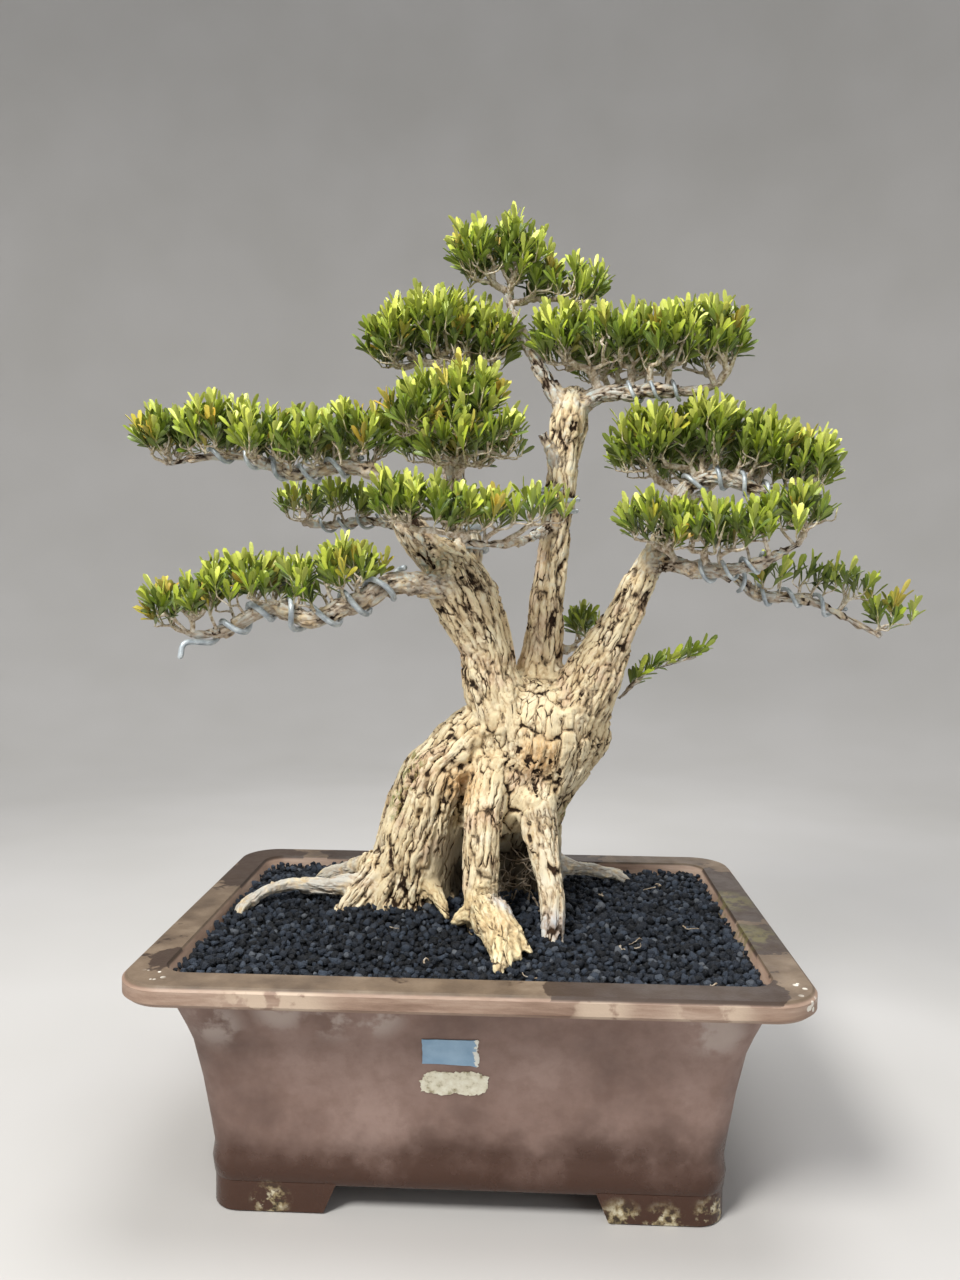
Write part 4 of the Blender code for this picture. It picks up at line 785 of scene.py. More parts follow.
def clay_paint():
    p = Paint("unglazed_clay")
    height = p.axis("Z")
    mottle = p.noise(70, 5, 0.6)
    body = p.ramp(p.noise(14, 5, 0.6), (0.32, (109, 88, 80)), (0.52, (134, 111, 102)),
                  (0.70, (152, 129, 120)))
    body = p.mix(p.levels(mottle, 0.42, 0.70, 0.0, 0.35), body, (114, 91, 81))
    wet_line = p.math("ADD", height, p.levels(p.noise(26, 4), 0.3, 0.7, -0.014, 0.014))
    wet = p.levels(wet_line, *DAMP, 1.0, 0.0)
    body = p.mix(wet, body, (72, 50, 40))
    ragged = p.noise(46, 5)
    body = p.mix(p.times(p.spots("lime"), p.levels(ragged, 0.40, 0.54, 0.0, 0.75)), body, (178, 164, 156))
    streaked = p.noise(60, 5, 0.65, p.stretched((0.20, 0.20, 1.6)))
    lip = p.ramp(streaked, (0.34, (122, 98, 84)), (0.50, (150, 126, 110)), (0.68, (176, 154, 138)))
    lip = p.mix(p.times(p.spots("dry"), p.levels(ragged, 0.42, 0.50, 0.0, 0.8)), lip, (196, 176, 156))
    top = p.ramp(p.noise(34, 5), (0.34, (90, 76, 63)), (0.52, (111, 95, 79)), (0.70, (132, 116, 98)))
    clay = p.mix(p.levels(height, LIP_BOTTOM - 0.002, LIP_BOTTOM + 0.002), body, lip)
    clay = p.mix(p.levels(height, POT_HEIGHT - 0.0022, POT_HEIGHT - 0.0008), clay, top)
    puddle = p.math("ADD", p.spots("wet"), p.levels(ragged, 0.3, 0.7, -0.5, 0.5))
    soaked = p.times(p.levels(height, POT_HEIGHT - 0.0034, POT_HEIGHT - 0.0014), p.levels(puddle, 0.40, 0.50))
    crust = p.ramp(p.noise(180, 4), (0.42, (62, 52, 40)), (0.52, (150, 134, 100)), (0.66, (206, 198, 172)))
    tints = (
        (p.times(soaked, 0.9), (56, 42, 34)),
        (p.times(p.spots("algae"), p.levels(p.noise(120, 4), 0.42, 0.58, 0.0, 0.75)), (106, 100, 62)),
        (p.times(p.spots("specks"), p.levels(p.cells(150), 0.26, 0.30, 1.0, 0.0)), (226, 220, 208)),
        (p.times(p.spots("crust"), p.levels(p.noise(70, 6, 0.65), 0.45, 0.52)), crust),
    )
    for share, tint in tints:
        clay = p.mix(share, clay, tint)
    glossy = p.math("MAXIMUM", wet, p.times(soaked, 0.2))
    rough = p.math("SUBTRACT", p.levels(mottle, 0.3, 0.7, 0.52, 0.68), p.times(glossy, 0.38))
    relief = p.math("ADD", p.times(mottle, 0.6), p.times(p.noise(600, 3), 0.4))
    return p.finish(clay, rough, p.bump(relief, 0.0008, 0.6), 0.4)


def wire_paint():
    p = Paint("aluminium_wire")
    dull = p.ramp(p.noise(160, 4), (0.35, (150, 160, 168)), (0.65, (208, 216, 220)))
    rough = p.levels(p.noise(300, 3), 0.3, 0.7, 0.42, 0.58)
    return p.finish(dull, rough, p.bump(p.noise(900, 2), 0.0002, 0.4), metallic=0.35)


def plastic_paint():
    p = Paint("black_plastic")
    dust = p.ramp(p.noise(400, 4), (0.4, (24, 24, 24)), (0.7, (58, 54, 48)))
    return p.finish(dust, 0.6, p.bump(p.noise(800, 2), 0.0002, 0.4))


def label_paint():
    p = Paint("blue_paper")
    faded = p.ramp(p.noise(60, 4), (0.35, (128, 160, 188)), (0.65, (150, 180, 204)))
    torn = p.math("ADD", p.axis("X"), p.levels(p.noise(300, 3), 0.3, 0.7, -0.0015, 0.0015))
    edge = p.mix(p.levels(torn, MODEL_SHIFT[0] + 0.0062, MODEL_SHIFT[0] + 0.0068), faded, (226, 226, 216))
    return p.finish(edge, 0.55, p.bump(p.noise(700, 3), 0.0002, 0.5))


def torn_paint():
    p = Paint("torn_paper")
    stain = p.ramp(p.noise(150, 5, 0.65), (0.34, (150, 140, 112)), (0.46, (212, 206, 184)),
                   (0.70, (232, 230, 214)))
    return p.finish(stain, 0.85, p.bump(p.noise(400, 4), 0.0006, 0.8))


def floor_paint():
    p = Paint("floor")
    tone = p.ramp(p.noise(3, 2), (0.3, (188, 186, 183)), (0.7, (194, 192, 190)))
    return p.finish(tone, 0.75, specular=0.2)


def wood_bodies():
    """Name, bark and path of every part of the trunk and limbs, and of the thick ends of the branches."""
    found = [(name, bark, mass_path(rows)) for name, bark, rows in MASSES]
    found += [(name, BARK_OF[name], wood_route(points)) for name, points in LIMBS.items() if name in BARK_OF]
    found += [(name, "stump", wood_route(points)) for name, points in TOES.items()]
    for name, points in BRANCHES.items():
        path = wood_route(points)
        thick = max(4, int(np.sum(path[:, 3] > FINE_WOOD)))
        found.append((name, "branch", path[:thick]))
    return found


def body_weights(points, bodies):
    """For each body, how far it owns each point, and the point's place in that body's own frame."""
    distances = []
    places = []
    for name, _, path in bodies:
        along, first, second = turned_frames(path)
        nearest, away = nearest_rows(points, path[:, :3])
        off = points - path[nearest, :3]
        distances.append(away - path[nearest, 3] - OWNERSHIP.get(name, 0.0))
        aside = [np.sum(off * way[nearest], axis=1) for way in (first, second, along)]
        aside[2] = distance_along(path)[nearest] + aside[2]
        places.append(np.stack(aside, axis=1))
    distances = np.array(distances)
    weights = np.exp(-(distances - distances.min(axis=0)) / BLEND_REACH)
    weights[weights < 0.05] = 0.0
    return weights / weights.sum(axis=0), places


def nearest_rows(points, rows, block=20000):
    """Index and distance of the row nearest to each point."""
    index = []
    away = []
    for start in range(0, len(points), block):
        gaps = np.linalg.norm(points[start:start + block, None, :] - rows[None, :, :], axis=2)
        index.append(np.argmin(gaps, axis=1))
        away.append(gaps.min(axis=1))
    return np.concatenate(index), np.concatenate(away)


def bark_relief(place, kind, salt, rough_spots):
    """Height of the bark, how deep in a crack each point lies, and the tone of its plate."""
    width, stretch, crack_depth, flute_depth, lump, crumble, stain = BARKS[kind]
    bent = place.copy()
    for k in range(3):
        bent[:, k] += 0.0042 * layered(place / 0.020, salt + k) + 0.0010 * waves(place / 0.0042, salt + 4 + k)
    border, tone, lean = plates(bent / np.array((width, width, width * stretch)), salt)
    open_share = ease(waves(place / 0.016, salt + 8), -0.3, 0.9)
    gape = 0.0003 + 0.0008 * open_share
    crack = 1 - ease(border * width, 0.0, gape + 0.0005)
    height = -crack_depth * crack * (0.6 + 0.4 * open_share) + 0.0016 * (tone - 0.5)
    height += 0.0022 * lean * ease(tone, 0.2, 0.8)
    furrow = (1 - ease(border * width, 0.0, 0.0015)) * (0.80 + 0.20 * open_share)
    split_size = np.array((SPLIT_SHARE * width, SPLIT_SHARE * width, 0.30 * width * stretch + 0.002))
    split, small_tone, _ = plates(bent / split_size, salt + 10)
    split_edge = (1 - ease(split * SPLIT_SHARE * width, 0.0, 0.0012)) * ease(small_tone, 0.35, 0.7)
    height += -0.36 * crack_depth * split_edge + 0.0007 * (small_tone - 0.5)
    furrow = np.maximum(furrow, 0.66 * split_edge)
    if flute_depth:
        flute_width = 2.4 * width
        flutes, _, _ = plates(bent / np.array((flute_width, flute_width, flute_width * stretch)), salt + 14)
        valley = 1 - ease(flutes * flute_width, 0.0, 0.0030)
        valley = valley * ease(waves(place / 0.030, salt + 16), -0.6, 0.2)
        height -= flute_depth * valley
        furrow = np.maximum(furrow, 0.9 * ease(valley, 0.72, 1.0))
    crumbs, crumb_tone, _ = plates(bent / np.array((CRUMB, CRUMB, CRUMB_LENGTH)), salt + 18)
    broken = layered(place / 0.018, salt + 21)
    crumbly = np.maximum(crumble * ease(broken, 0.30, 0.50), rough_spots * ease(broken, -0.35, 0.10))
    pit = crumbly * (1 - ease(crumbs * CRUMB, 0.0, 0.0010))
    height += crumbly * 0.0016 * (crumb_tone - 0.6) - 0.0014 * pit
    furrow = np.maximum(furrow, 0.75 * pit + 0.8 * crumbly * ease(0.22 - crumb_tone, 0.0, 0.12))
    fibres = waves(place / np.array((0.0015, 0.0015, 0.0120)), salt + 25)
    height += lump * layered(place / 0.020, salt + 27) + 0.00035 * fibres
    return height, stain * furrow, tone


def spots(points, name):
    """1 at the places of one kind in SPOTS, fading to 0 at their reach."""
    found = np.zeros(len(points))
    for *place, reach in np.array(SPOTS[name]) / 1000:
        away = np.linalg.norm(points - shifted(place), axis=1)
        found = np.maximum(found, 1 - ease(away, 0.4 * reach, reach))
    return found


def dress_bark(made, bodies):
    """Press the bark's relief into a smooth mesh and keep what its colours need as values on the points."""
    points, normals = vertex_arrays(made.data)
    weights, places = body_weights(points, bodies)
    height, furrow, plate, thin, fibrous = np.zeros((5, len(points)))
    grain = np.zeros((len(points), 3))
    owner = np.argmax(weights, axis=0)
    crumbly = spots(points, "crumbly")
    bare = spots(points, "bare")
    for number, (_, kind, path) in enumerate(bodies):
        owned = weights[number] > 0
        if not owned.any():
            continue
        salt = 100 + 20 * number
        rise, dark, tone = bark_relief(places[number][owned], kind, salt, crumbly[owned])
        share = weights[number][owned]
        height[owned] += share * rise
        furrow[owned] += share * dark
        plate[owned] += share * tone
        thin[owned] += share * (kind != "stump") * (1 - ease(path[:, 3].mean(), 0.006, 0.016))
        fibrous[owned] += share * (kind == "stump")
        grain[owner == number] = places[number][owner == number] + 0.37 * number
    height *= 1 - 0.8 * bare
    furrow *= 1 - 0.85 * bare
    made.data.vertices.foreach_set("co", (points + height[:, None] * normals).astype(np.float32).ravel())
    made.data.update()
    point_values(made, "grain", grain, "FLOAT_VECTOR", "vector")
    kept = {"furrow": furrow, "plate": plate, "thin": thin, "fibrous": fibrous,
            "seam": 1 - ease(weights.max(axis=0), 0.55, 0.9),
            "lichen": ease(points[:, 2], 0.40, 0.46) * (0.35 + 0.65 * thin)}
    kept.update({name: spots(points, name) for name in ("wound", "moss", "bare", "shade", "blue")})
    for name, values in kept.items():
        point_values(made, name, values)


def build_trunk(material):
    bodies = wood_bodies()
    shells = [smooth_mass(rows) for _, _, rows in MASSES]
    shells += [round_tube(path, LIMB_SIDES) for _, _, path in bodies[len(MASSES):]]
    made = new_object("trunk_bark", *joined(shells), material)
    grid = made.modifiers.new("grid", "REMESH")
    grid.mode = "VOXEL"
    grid.voxel_size = TRUNK_GRID
    grid.use_smooth_shade = True
    soft = made.modifiers.new("soft", "SMOOTH")
    soft.factor = 0.5
    soft.iterations = 6
    evaluated(made)
    dress_bark(made, bodies)
    thin_out(made, TRUNK_TRIANGLES)
    made.data.shade_smooth()
    in_place(made, "pale_bark", "trunk")


def curled(draw, start, heading, length, radius, sides=6):
    """A thin curling rootlet or straw that grows from a place."""
    rows = [(*start, radius)]
    place = np.array(start, dtype=float)
    for k in range(7):
        heading = unit(heading + np.array([draw.uniform(-0.8, 0.8) for _ in range(3)]))
        place = place + heading * length / 7
        rows.append((*place, radius * (1 - 0.09 * k)))
    return round_tube(smooth_rows(rows, length / 14), sides, rounded=False)


def dry_bits(name, shells, old, material, node):
    """One piece from the shells of several rootlets or straws."""
    made = new_object(name, *joined(shells), material)
    point_values(made, "old", np.full(len(made.data.vertices), old))
    in_place(made, "pale_bark", node)


def build_rootlets(material):
    """Thin dry roots that hang in the dark hollow between the legs."""
    draw = random.Random(RANDOM_SEED + 31)
    shells = []
    for _ in range(ROOTLETS):
        start = shifted((draw.uniform(0.016, 0.060), draw.uniform(0.022, 0.050), draw.uniform(0.178, 0.220)))
        heading = np.array((draw.uniform(-1, 1), draw.uniform(-0.5, 0.3), draw.uniform(-0.9, 0.3)))
        shell = curled(draw, start, heading, draw.uniform(0.018, 0.040), draw.uniform(0.0004, 0.0009))
        if shell[0][:, 0].max() < MODEL_SHIFT[0] + ROOTLETS_END:
            shells.append(shell)
    dry_bits("rootlets", shells, 0.7, material, "trunk")


def build_litter(material):
    """Straws and bits of dry root on the gravel."""
    draw = random.Random(RANDOM_SEED + 37)
    shells = []
    for _ in range(STRAWS):
        x = draw.uniform(-0.19, 0.19)
        y = draw.uniform(-0.13, 0.10)
        heading = np.array((draw.uniform(-1, 1), draw.uniform(-1, 1), 0.1))
        start = shifted((x, y, float(soil_height(x, y)) + 0.0014))
        shell = curled(draw, start, heading, draw.uniform(0.006, 0.018), draw.uniform(0.0004, 0.0008))
        low = shell[0][:, 2] < start[2]
        shell[0][low, 2] = 0.5 * (shell[0][low, 2] + start[2])
        shells.append(shell)
    dry_bits("litter", shells, 0.5, material, "soil")


def thin_out(made, wanted):
    """Fewer triangles where the surface is flat."""
    count = sum(len(side.vertices) - 2 for side in made.data.polygons)
    if count > wanted:
        step = made.modifiers.new("thin", "DECIMATE")
        step.ratio = wanted / count
        evaluated(made)


def build_branches(material):
    """The thin outer ends of the branches, each in its own skin from where the remeshed wood ends."""
    shells = []
    bodies = []
    for name, points in BRANCHES.items():
        path = wood_route(points, BRANCH_STEP)
        thick = int(np.sum(path[:, 3] > FINE_WOOD))
        ends = path[max(0, thick - 6):]
        if len(ends) > 3:
            shells.append(round_tube(ends, 12))
            bodies.append((name, "branch", ends))
    sprout = wood_route(SPROUT, BRANCH_STEP)
    stub = LIMBS["stub_centre"]
    shells += [round_tube(sprout, 8), round_tube(wood_route(stub, 0.002), 16, rounded=False)]
    bodies += [("sprout", "branch", sprout), ("stub_centre", "branch", wood_route(stub))]
    made = new_object("branch_bark", *joined(shells), material)
    dress_bark(made, bodies)
    in_place(made, "pale_bark", "trunk")


def wire_route(name):
    """Smooth helix round its branch."""
    wood, start, end, steps, radius = WIRES[name]
    turns = steps / (LIMB_CORNERS if wood in LIMBS else BRANCH_CORNERS)
    path = wood_route(ALL_WOOD[wood], 0.002)
    _, across, off = upright_frames(path)
    length = distance_along(path)
    table = np.hstack([path, off, across])
    count = int(turns * WIRE_ROWS)
    rows = []
    for share in np.arange(count + 1) / count:
        reach = length[-1] * (start + (end - start) * share)
        row = np.array([np.interp(reach, length, column) for column in table.T])
        angle = 2 * math.pi * turns * share
        out = row[3] + radius + WIRE_GAP
        rows.append((*(row[:3] + out * (math.cos(angle) * row[4:7] + math.sin(angle) * row[7:10])), radius))
    if name == "left_low":
        tail = [rows[-5]] + [(*point, radius) for point in shifted(np.array(WIRE_TAIL) / 1000)]
        rows = rows[:-5] + list(smooth_rows(tail, 0.002))
    return np.array(rows)


def upright_frames(path):
    """Unit vectors along, across and off the path: the off vector is its highest side."""
    along = unit(np.gradient(path[:, :3], axis=0))
    upright = abs(path[-1, 2] - path[0, 2]) > 0.75 * np.linalg.norm(path[-1, :3] - path[0, :3])
    across = unit(np.cross(along, (0.0, -1.0, 0.0) if upright else (0.0, 0.0, 1.0)))
    return along, across, np.cross(across, along)


def build_wire(name, material):
    made = new_object("coiled_" + name, *round_tube(wire_route(name), 8), material)
    in_place(made, "aluminium_wire", "wire_" + name)


def filled_lobes(lobes):
    """The lobes in metres, with one more in the middle of each close pair."""
    rows = np.array(lobes, dtype=float)
    rows[:, :3] = shifted(rows[:, :3] / 1000)
    rows[:, 3:] *= 0.001
    extra = [(a + b) / 2 for a, b in zip(rows, rows[1:]) if np.linalg.norm(a[:3] - b[:3]) < 0.06]
    return np.array([*rows, *extra])


def depth_in(points, lobes):
    """How far out each point lies in the lobe that holds it best: 0 in its middle and 1 on its skin."""
    off = np.abs(points[:, None, :] - lobes[None, :, :3]) / lobes[None, :, 3:]
    return (np.sum(off ** BOXY, axis=2) ** (1 / BOXY)).min(axis=1)


def lobe_places(lobes, spacing, draw):
    """Random places on and inside the lobes, the inner ones last: if inside, where, and the way out."""
    found = []
    for number, lobe in enumerate(lobes):
        sizes = lobe[3:]
        for _ in range(round(SHOOT_TRIES * 4 * math.pi * np.prod(sizes) ** (2 / 3) / spacing ** 2)):
            height = draw.uniform(-0.20, 1.0)
            angle = draw.uniform(0, 2 * math.pi)
            flat = math.sqrt(1 - height * height)
            ray = np.array((flat * math.cos(angle), flat * math.sin(angle), height))
            box = np.sum(np.abs(ray) ** BOXY) ** (-1 / BOXY)
            box *= 1 + UNEVEN * waves((lobe[:3] + ray * sizes)[None, :] / 0.020, number)[0]
            inner = draw.random() < INNER_SHARE
            if inner:
                reach = draw.uniform(0.55, 0.85)
            else:
                reach = draw.uniform(0.84, 1.06) + 0.14 * (draw.random() < 0.15)
            found.append((inner, lobe[:3] + ray * sizes * box * reach, ray))
    return sorted(found, key=lambda item: item[0])


def lobe_shoots(name, draw):
    """Shoots spread over a spray's lobes: where their leaf tips reach, their way, length and bareness."""
    lobes = filled_lobes(SPRAYS[name][1])
    spacing = SHOOT_SPACING * SPARSE.get(name, 1.0)
    kept = np.zeros((0, 3))
    shoots = []
    for inner, tip, ray in lobe_places(lobes, spacing, draw):
        if not inner and depth_in(tip[None, :], lobes)[0] < 0.72:
            continue
        if len(kept) and np.min(np.linalg.norm(kept - tip, axis=1)) < spacing * (1.15 if inner else 1.0):
            continue
        kept = np.vstack([kept, tip])
        axis = unit(0.60 * ray + np.array((draw.uniform(-0.32, 0.32), draw.uniform(-0.32, 0.32), 0.75)))
        length = draw.uniform(*SHOOT_LENGTH)
        nearest = lobes[int(np.argmin(np.linalg.norm(lobes[:, :3] - tip, axis=1)))]
        if tip[2] - axis[2] * (length + TIP_REACH) - nearest[2] > LOWEST_FOOT * nearest[5]:
            shoots.append((tip, axis, length, draw.random() < BARE_SHARE))
    return shoots


def sprout_shoots():
    path = wood_route(SPROUT, 0.0075)
    along, across, _ = upright_frames(path)
    shoots = []
    for i in range(2, len(path)):
        aside = across[i] * (1 if i % 2 else -1) if i < len(path) - 1 else along[i]
        axis = unit(0.55 * aside + 0.75 * along[i] + np.array((0, 0, 0.60)))
        shoots.append((path[i, :3] + (0.009 + 0.8 * LEAF_LENGTH) * axis, axis, 0.007, False))
    return shoots


def grow_twigs(name, shoots):
    """Forking twigs from the branch to every shoot's foot: places, shoots fed, wood's radius and runs."""
    wood = SPROUT if name == "sprout" else ALL_WOOD[SPRAYS[name][0]]
    path = wood_route(wood, 0.003)
    feet = [tip - axis * (length + TIP_REACH) for tip, axis, length, _ in shoots]
    nodes = [row[:3] for row in path]
    cost = [0.0] * len(path)
    parent = [-1] * len(path)
    thickness = [row[3] for row in path]
    order = sorted(range(len(shoots)), key=lambda k: np.min(np.linalg.norm(path[:, :3] - feet[k], axis=1)))
    runs = {}
    for k in order:
        places = np.array(nodes)
        off = feet[k] - places
        away = np.linalg.norm(off, axis=1)
        below = np.clip(-off[:, 2], 0, None)
        turn = np.clip(0.35 - np.sum(unit(off) * shoots[k][1], axis=1), 0, None)
        choice = int(np.argmin(away + 0.30 * np.array(cost) + 2.0 * below + 0.010 * turn))
        start = places[choice]
        reach = away[choice]
        first = unit(unit(off[choice]) + np.array((0, 0, 0.35))) * reach
        last = unit(unit(off[choice]) + shoots[k][1]) * reach
        run = [choice]
        for t in (0.33, 0.67, 1.0):
            bow = ((2 * t ** 3 - 3 * t ** 2 + 1) * start + (t ** 3 - 2 * t ** 2 + t) * first
                   + (3 * t ** 2 - 2 * t ** 3) * feet[k] + (t ** 3 - t ** 2) * last)
            nodes.append(bow)
            parent.append(run[-1])
            cost.append(cost[run[-1]] + reach / 3)
            thickness.append(0.0)
            run.append(len(nodes) - 1)
        runs[k] = run
    fed = np.zeros(len(nodes))
    for k, run in runs.items():
        node = run[-1]
        while node >= 0:
            fed[node] += 1
            node = parent[node]
    return np.array(nodes), fed, np.array(thickness), runs


def twig_shells(name, shoots):
    """Skins of a spray's twigs, and how near the young tip each of their points lies."""
    nodes, fed, thickness, runs = grow_twigs(name, shoots)
    shells = []
    young = []
    for k, run in runs.items():
        _, axis, length, _ = shoots[k]
        rows = []
        for node in run:
            radius = TIP_RADIUS * max(1.0, fed[node]) ** FORK_POWER
            if thickness[node] > 0:
                radius = min(TIP_RADIUS * (fed[run[1]] ** FORK_POWER) * 1.25, 0.8 * thickness[node])
            rows.append((*nodes[node], radius))
        foot = nodes[run[-1]]
        rows.append((*(foot + 0.6 * length * axis), TIP_RADIUS * 0.9))
        rows.append((*(foot + length * axis), TIP_RADIUS * 0.7))
        rows = np.array(rows)
        apart = np.linalg.norm(np.diff(rows[:, :3], axis=0), axis=1) > 0.0004
        rows = rows[np.concatenate([[True], apart])]
        if len(rows) < 3:
            continue
        shells.append(round_tube(rows, TWIG_SIDES, rounded=False))
        young.extend(np.repeat(np.linspace(0, 1, len(rows)) ** 3, TWIG_SIDES))
    return shells, young


def leaf_table(name, shoots, draw):
    """Rows for every leaf: foot, direction, upper normal, length, width, bend and tints."""
    rows = []
    for tip, axis, length, bare in shoots:
        if bare:
            continue
        foot = tip - axis * (length + TIP_REACH)
        helper = unit(np.cross(axis, (0.3, 0.1, 0.9)))
        third = np.cross(axis, helper)
        pairs = draw.choice((3, 4, 4)) if name in SPARSE or name == "sprout" else draw.choice((4, 4, 5))
        turn = draw.uniform(0, 2 * math.pi)
        yellow = draw.uniform(0.3, 1) if draw.random() < AUTUMN.get(name, 0.08) else 0.0
        fresh = draw.uniform(-0.20, 0.18)
        for pair in range(pairs):
            share = (pair + 0.4) / (pairs - 0.4)
            for side in (0, 1):
                angle = turn + pair * math.pi / 2 + side * math.pi + draw.uniform(-0.35, 0.35)
                tilt = 0.80 - 0.55 * share + draw.uniform(-0.20, 0.20)
                radial = math.cos(angle) * helper + math.sin(angle) * third
                direction = math.cos(tilt) * axis + math.sin(tilt) * radial
                normal = math.sin(tilt) * axis - math.cos(tilt) * radial
                twist = draw.uniform(-0.6, 0.6)
                normal = math.cos(twist) * normal + math.sin(twist) * np.cross(direction, normal)
                size = LEAF_LENGTH * draw.uniform(0.72, 1.06) * (0.86 + 0.14 * share)
                wide = LEAF_WIDTH * draw.uniform(0.8, 1.15)
                bend = draw.uniform(-0.5, 1.1)
                bright = fresh + 0.12 * share + draw.uniform(-0.10, 0.10)
                gold = yellow * draw.uniform(0.5, 1.0) if share > 0.3 else 0.0
                base = foot + axis * length * share
                rows.append((*base, *direction, *normal, size, wide, bend, bright, gold, draw.random()))
    return np.array(rows)


def paint_leaf_light_and_shade(table, lobes):
    """Painted light and shade: brighten the leaves towards the outside and the top of their lobes, darken the
    inner and lower ones, and keep none far below.
    """
    ends = table[:, :3] + 0.8 * table[:, LONG, None] * table[:, 3:6]
    nearest, _ = nearest_rows(ends, lobes[:, :3])
    high = (ends[:, 2] - lobes[nearest, 2]) / lobes[nearest, 5]
    bright = 0.02 + 0.52 * ease(high, -0.6, 0.9) + 0.42 * ease(depth_in(ends, lobes), 0.50, 1.0)
    table[:, BRIGHT] += bright
    luck = table[:, LUCK]
    return table[high > LOWEST_LEAF + 0.45 * luck - 1.5 * (luck < 0.08)]


def clear_of_wood(table, wood):
    """Only the leaves whose blade keeps off the limbs and branches."""
    keep = np.ones(len(table), dtype=bool)
    for share in (0.45, 0.75, 1.0):
        points = table[:, :3] + share * table[:, LONG, None] * table[:, 3:6]
        for start in range(0, len(points), 2000):
            block = points[start:start + 2000]
            gaps = np.linalg.norm(block[:, None, :] - wood[None, :, :3], axis=2) - wood[None, :, 3]
            keep[start:start + 2000] &= gaps.min(axis=1) > ROOM_TO_WOOD
    return table[keep]


def leaf_mesh(table):
    """Closed, folded and slightly bent blades with rounded tips: a foot, three stations and a tip each."""
    base = table[:, 0:3]
    direction = table[:, 3:6]
    normal = table[:, 6:9]
    length = table[:, 9:10]
    width = table[:, 10:11]
    bend = table[:, 11:12]
    side = np.cross(direction, normal)
    columns = [base]
    shape = [(0.0, 0.0, 0.5)]
    for along, wide in LEAF_STATIONS:
        rise = LEAF_BEND * bend * along ** 2
        middle = base + along * length * direction - rise * normal
        edge = wide * width / 2
        columns.append(middle + edge * side + LEAF_FOLD * wide * normal)
        columns.append(middle + LEAF_THICKNESS / 2 * normal)
        columns.append(middle - edge * side + LEAF_FOLD * wide * normal)
        columns.append(middle - LEAF_THICKNESS / 2 * normal)
        shape += [(1.0, along, 0.5), (0.0, along, 1.0), (1.0, along, 0.5), (0.0, along, 0.0)]
    columns.append(base + length * direction - LEAF_BEND * bend * normal)
    shape.append((0.4, 1.0, 0.5))
    count = len(columns)
    vertices = np.stack(columns, axis=1).reshape(-1, 3)
    faces = []
    for k in range(4):
        faces.append((0, 1 + k, 1 + (k + 1) % 4))
        faces.append((count - 1, 9 + (k + 1) % 4, 9 + k))
    for station in (1, 5):
        for k in range(4):
            a = station + k
            b = station + (k + 1) % 4
            faces.append((a, a + 4, b + 4))
            faces.append((a, b + 4, b))
    faces = np.array(faces)
    faces = (faces[None, :, :] + count * np.arange(len(table))[:, None, None]).reshape(-1, 3)
    tint = np.hstack([np.clip(table[:, BRIGHT:LUCK + 1], 0, 1), np.ones((len(table), 1))])
    shape = np.tile(np.hstack([np.array(shape), np.ones((count, 1))]), (len(table), 1))
    return vertices, faces.tolist(), np.repeat(tint, count, axis=0), shape


def build_spray(name, wood, leaf_material, twig_material):
    draw = random.Random(RANDOM_SEED + sum(map(ord, name)))
    shoots = sprout_shoots() if name == "sprout" else lobe_shoots(name, draw)
    table = clear_of_wood(leaf_table(name, shoots, draw), wood)
    if name == "sprout":
        table[:, BRIGHT] += SPROUT_LIGHT
    else:
        table = paint_leaf_light_and_shade(table, filled_lobes(SPRAYS[name][1]))
    vertices, faces, tint, shape = leaf_mesh(table)
    leaves = new_object("leaves_" + name, vertices, faces, leaf_material)
    leaves.data.set_sharp_from_angle(angle=math.radians(LEAF_SHARP))
    point_values(leaves, "tint", tint, "FLOAT_COLOR", "color")
    point_values(leaves, "shape", shape, "FLOAT_COLOR", "color")
    in_place(leaves, "boxwood_leaf", "spray_" + name)
    shells, young = twig_shells(name, shoots)
    twigs = new_object("twigs_" + name, *joined(shells), twig_material)
    point_values(twigs, "young", young)
    in_place(twigs, "pale_bark", "spray_" + name)


def wood_balls():
    """Balls of x, y, z, radius along all wood, for keeping leaves off it."""
    return np.vstack([wood_route(points) for points in ALL_WOOD.values()]
                     + [mass_path(rows) for _, _, rows in MASSES])


def grain_templates(draw):
    """Rough angular grains, each the hull of points near a ball of unit size."""
    found = []
    for _ in range(GRAIN_KINDS):
        shape = bmesh.new()
        for _ in range(GRAIN_POINTS):
            ray = Vector([draw.gauss(0, 1) for _ in range(3)]).normalized()
            shape.verts.new(ray * draw.uniform(0.80, 1.05))
        hull = bmesh.ops.convex_hull(shape, input=shape.verts)
        loose = [v for v in hull["geom_interior"] if isinstance(v, bmesh.types.BMVert)]
        bmesh.ops.delete(shape, geom=loose, context="VERTS")
        bmesh.ops.triangulate(shape, faces=shape.faces)
        shape.verts.index_update()
        sides = [[v.index for v in side.verts] for side in shape.faces]
        found.append((np.array([v.co for v in shape.verts]), sides))
        shape.free()
    return found


def soil_height(x, y):
    away = np.hypot(x - MOUND_MIDDLE[0], y - MOUND_MIDDLE[1])
    return SOIL_TOP + MOUND_HEIGHT * np.exp(-(away / MOUND_WIDTH) ** 2)


def inside_mouth(x, y):
    """Whether a grain's place lies within the pot's mouth, with its round corners."""
    half_x = MOUTH_HALF - GRAIN_INSET
    half_y = MOUTH_HALF - PLAN_DIFFERENCE - GRAIN_INSET
    over_x = max(abs(x) - (half_x - MOUTH_CORNER), 0.0)
    over_y = max(abs(y) - (half_y - MOUTH_CORNER), 0.0)
    return math.hypot(over_x, over_y) < MOUTH_CORNER


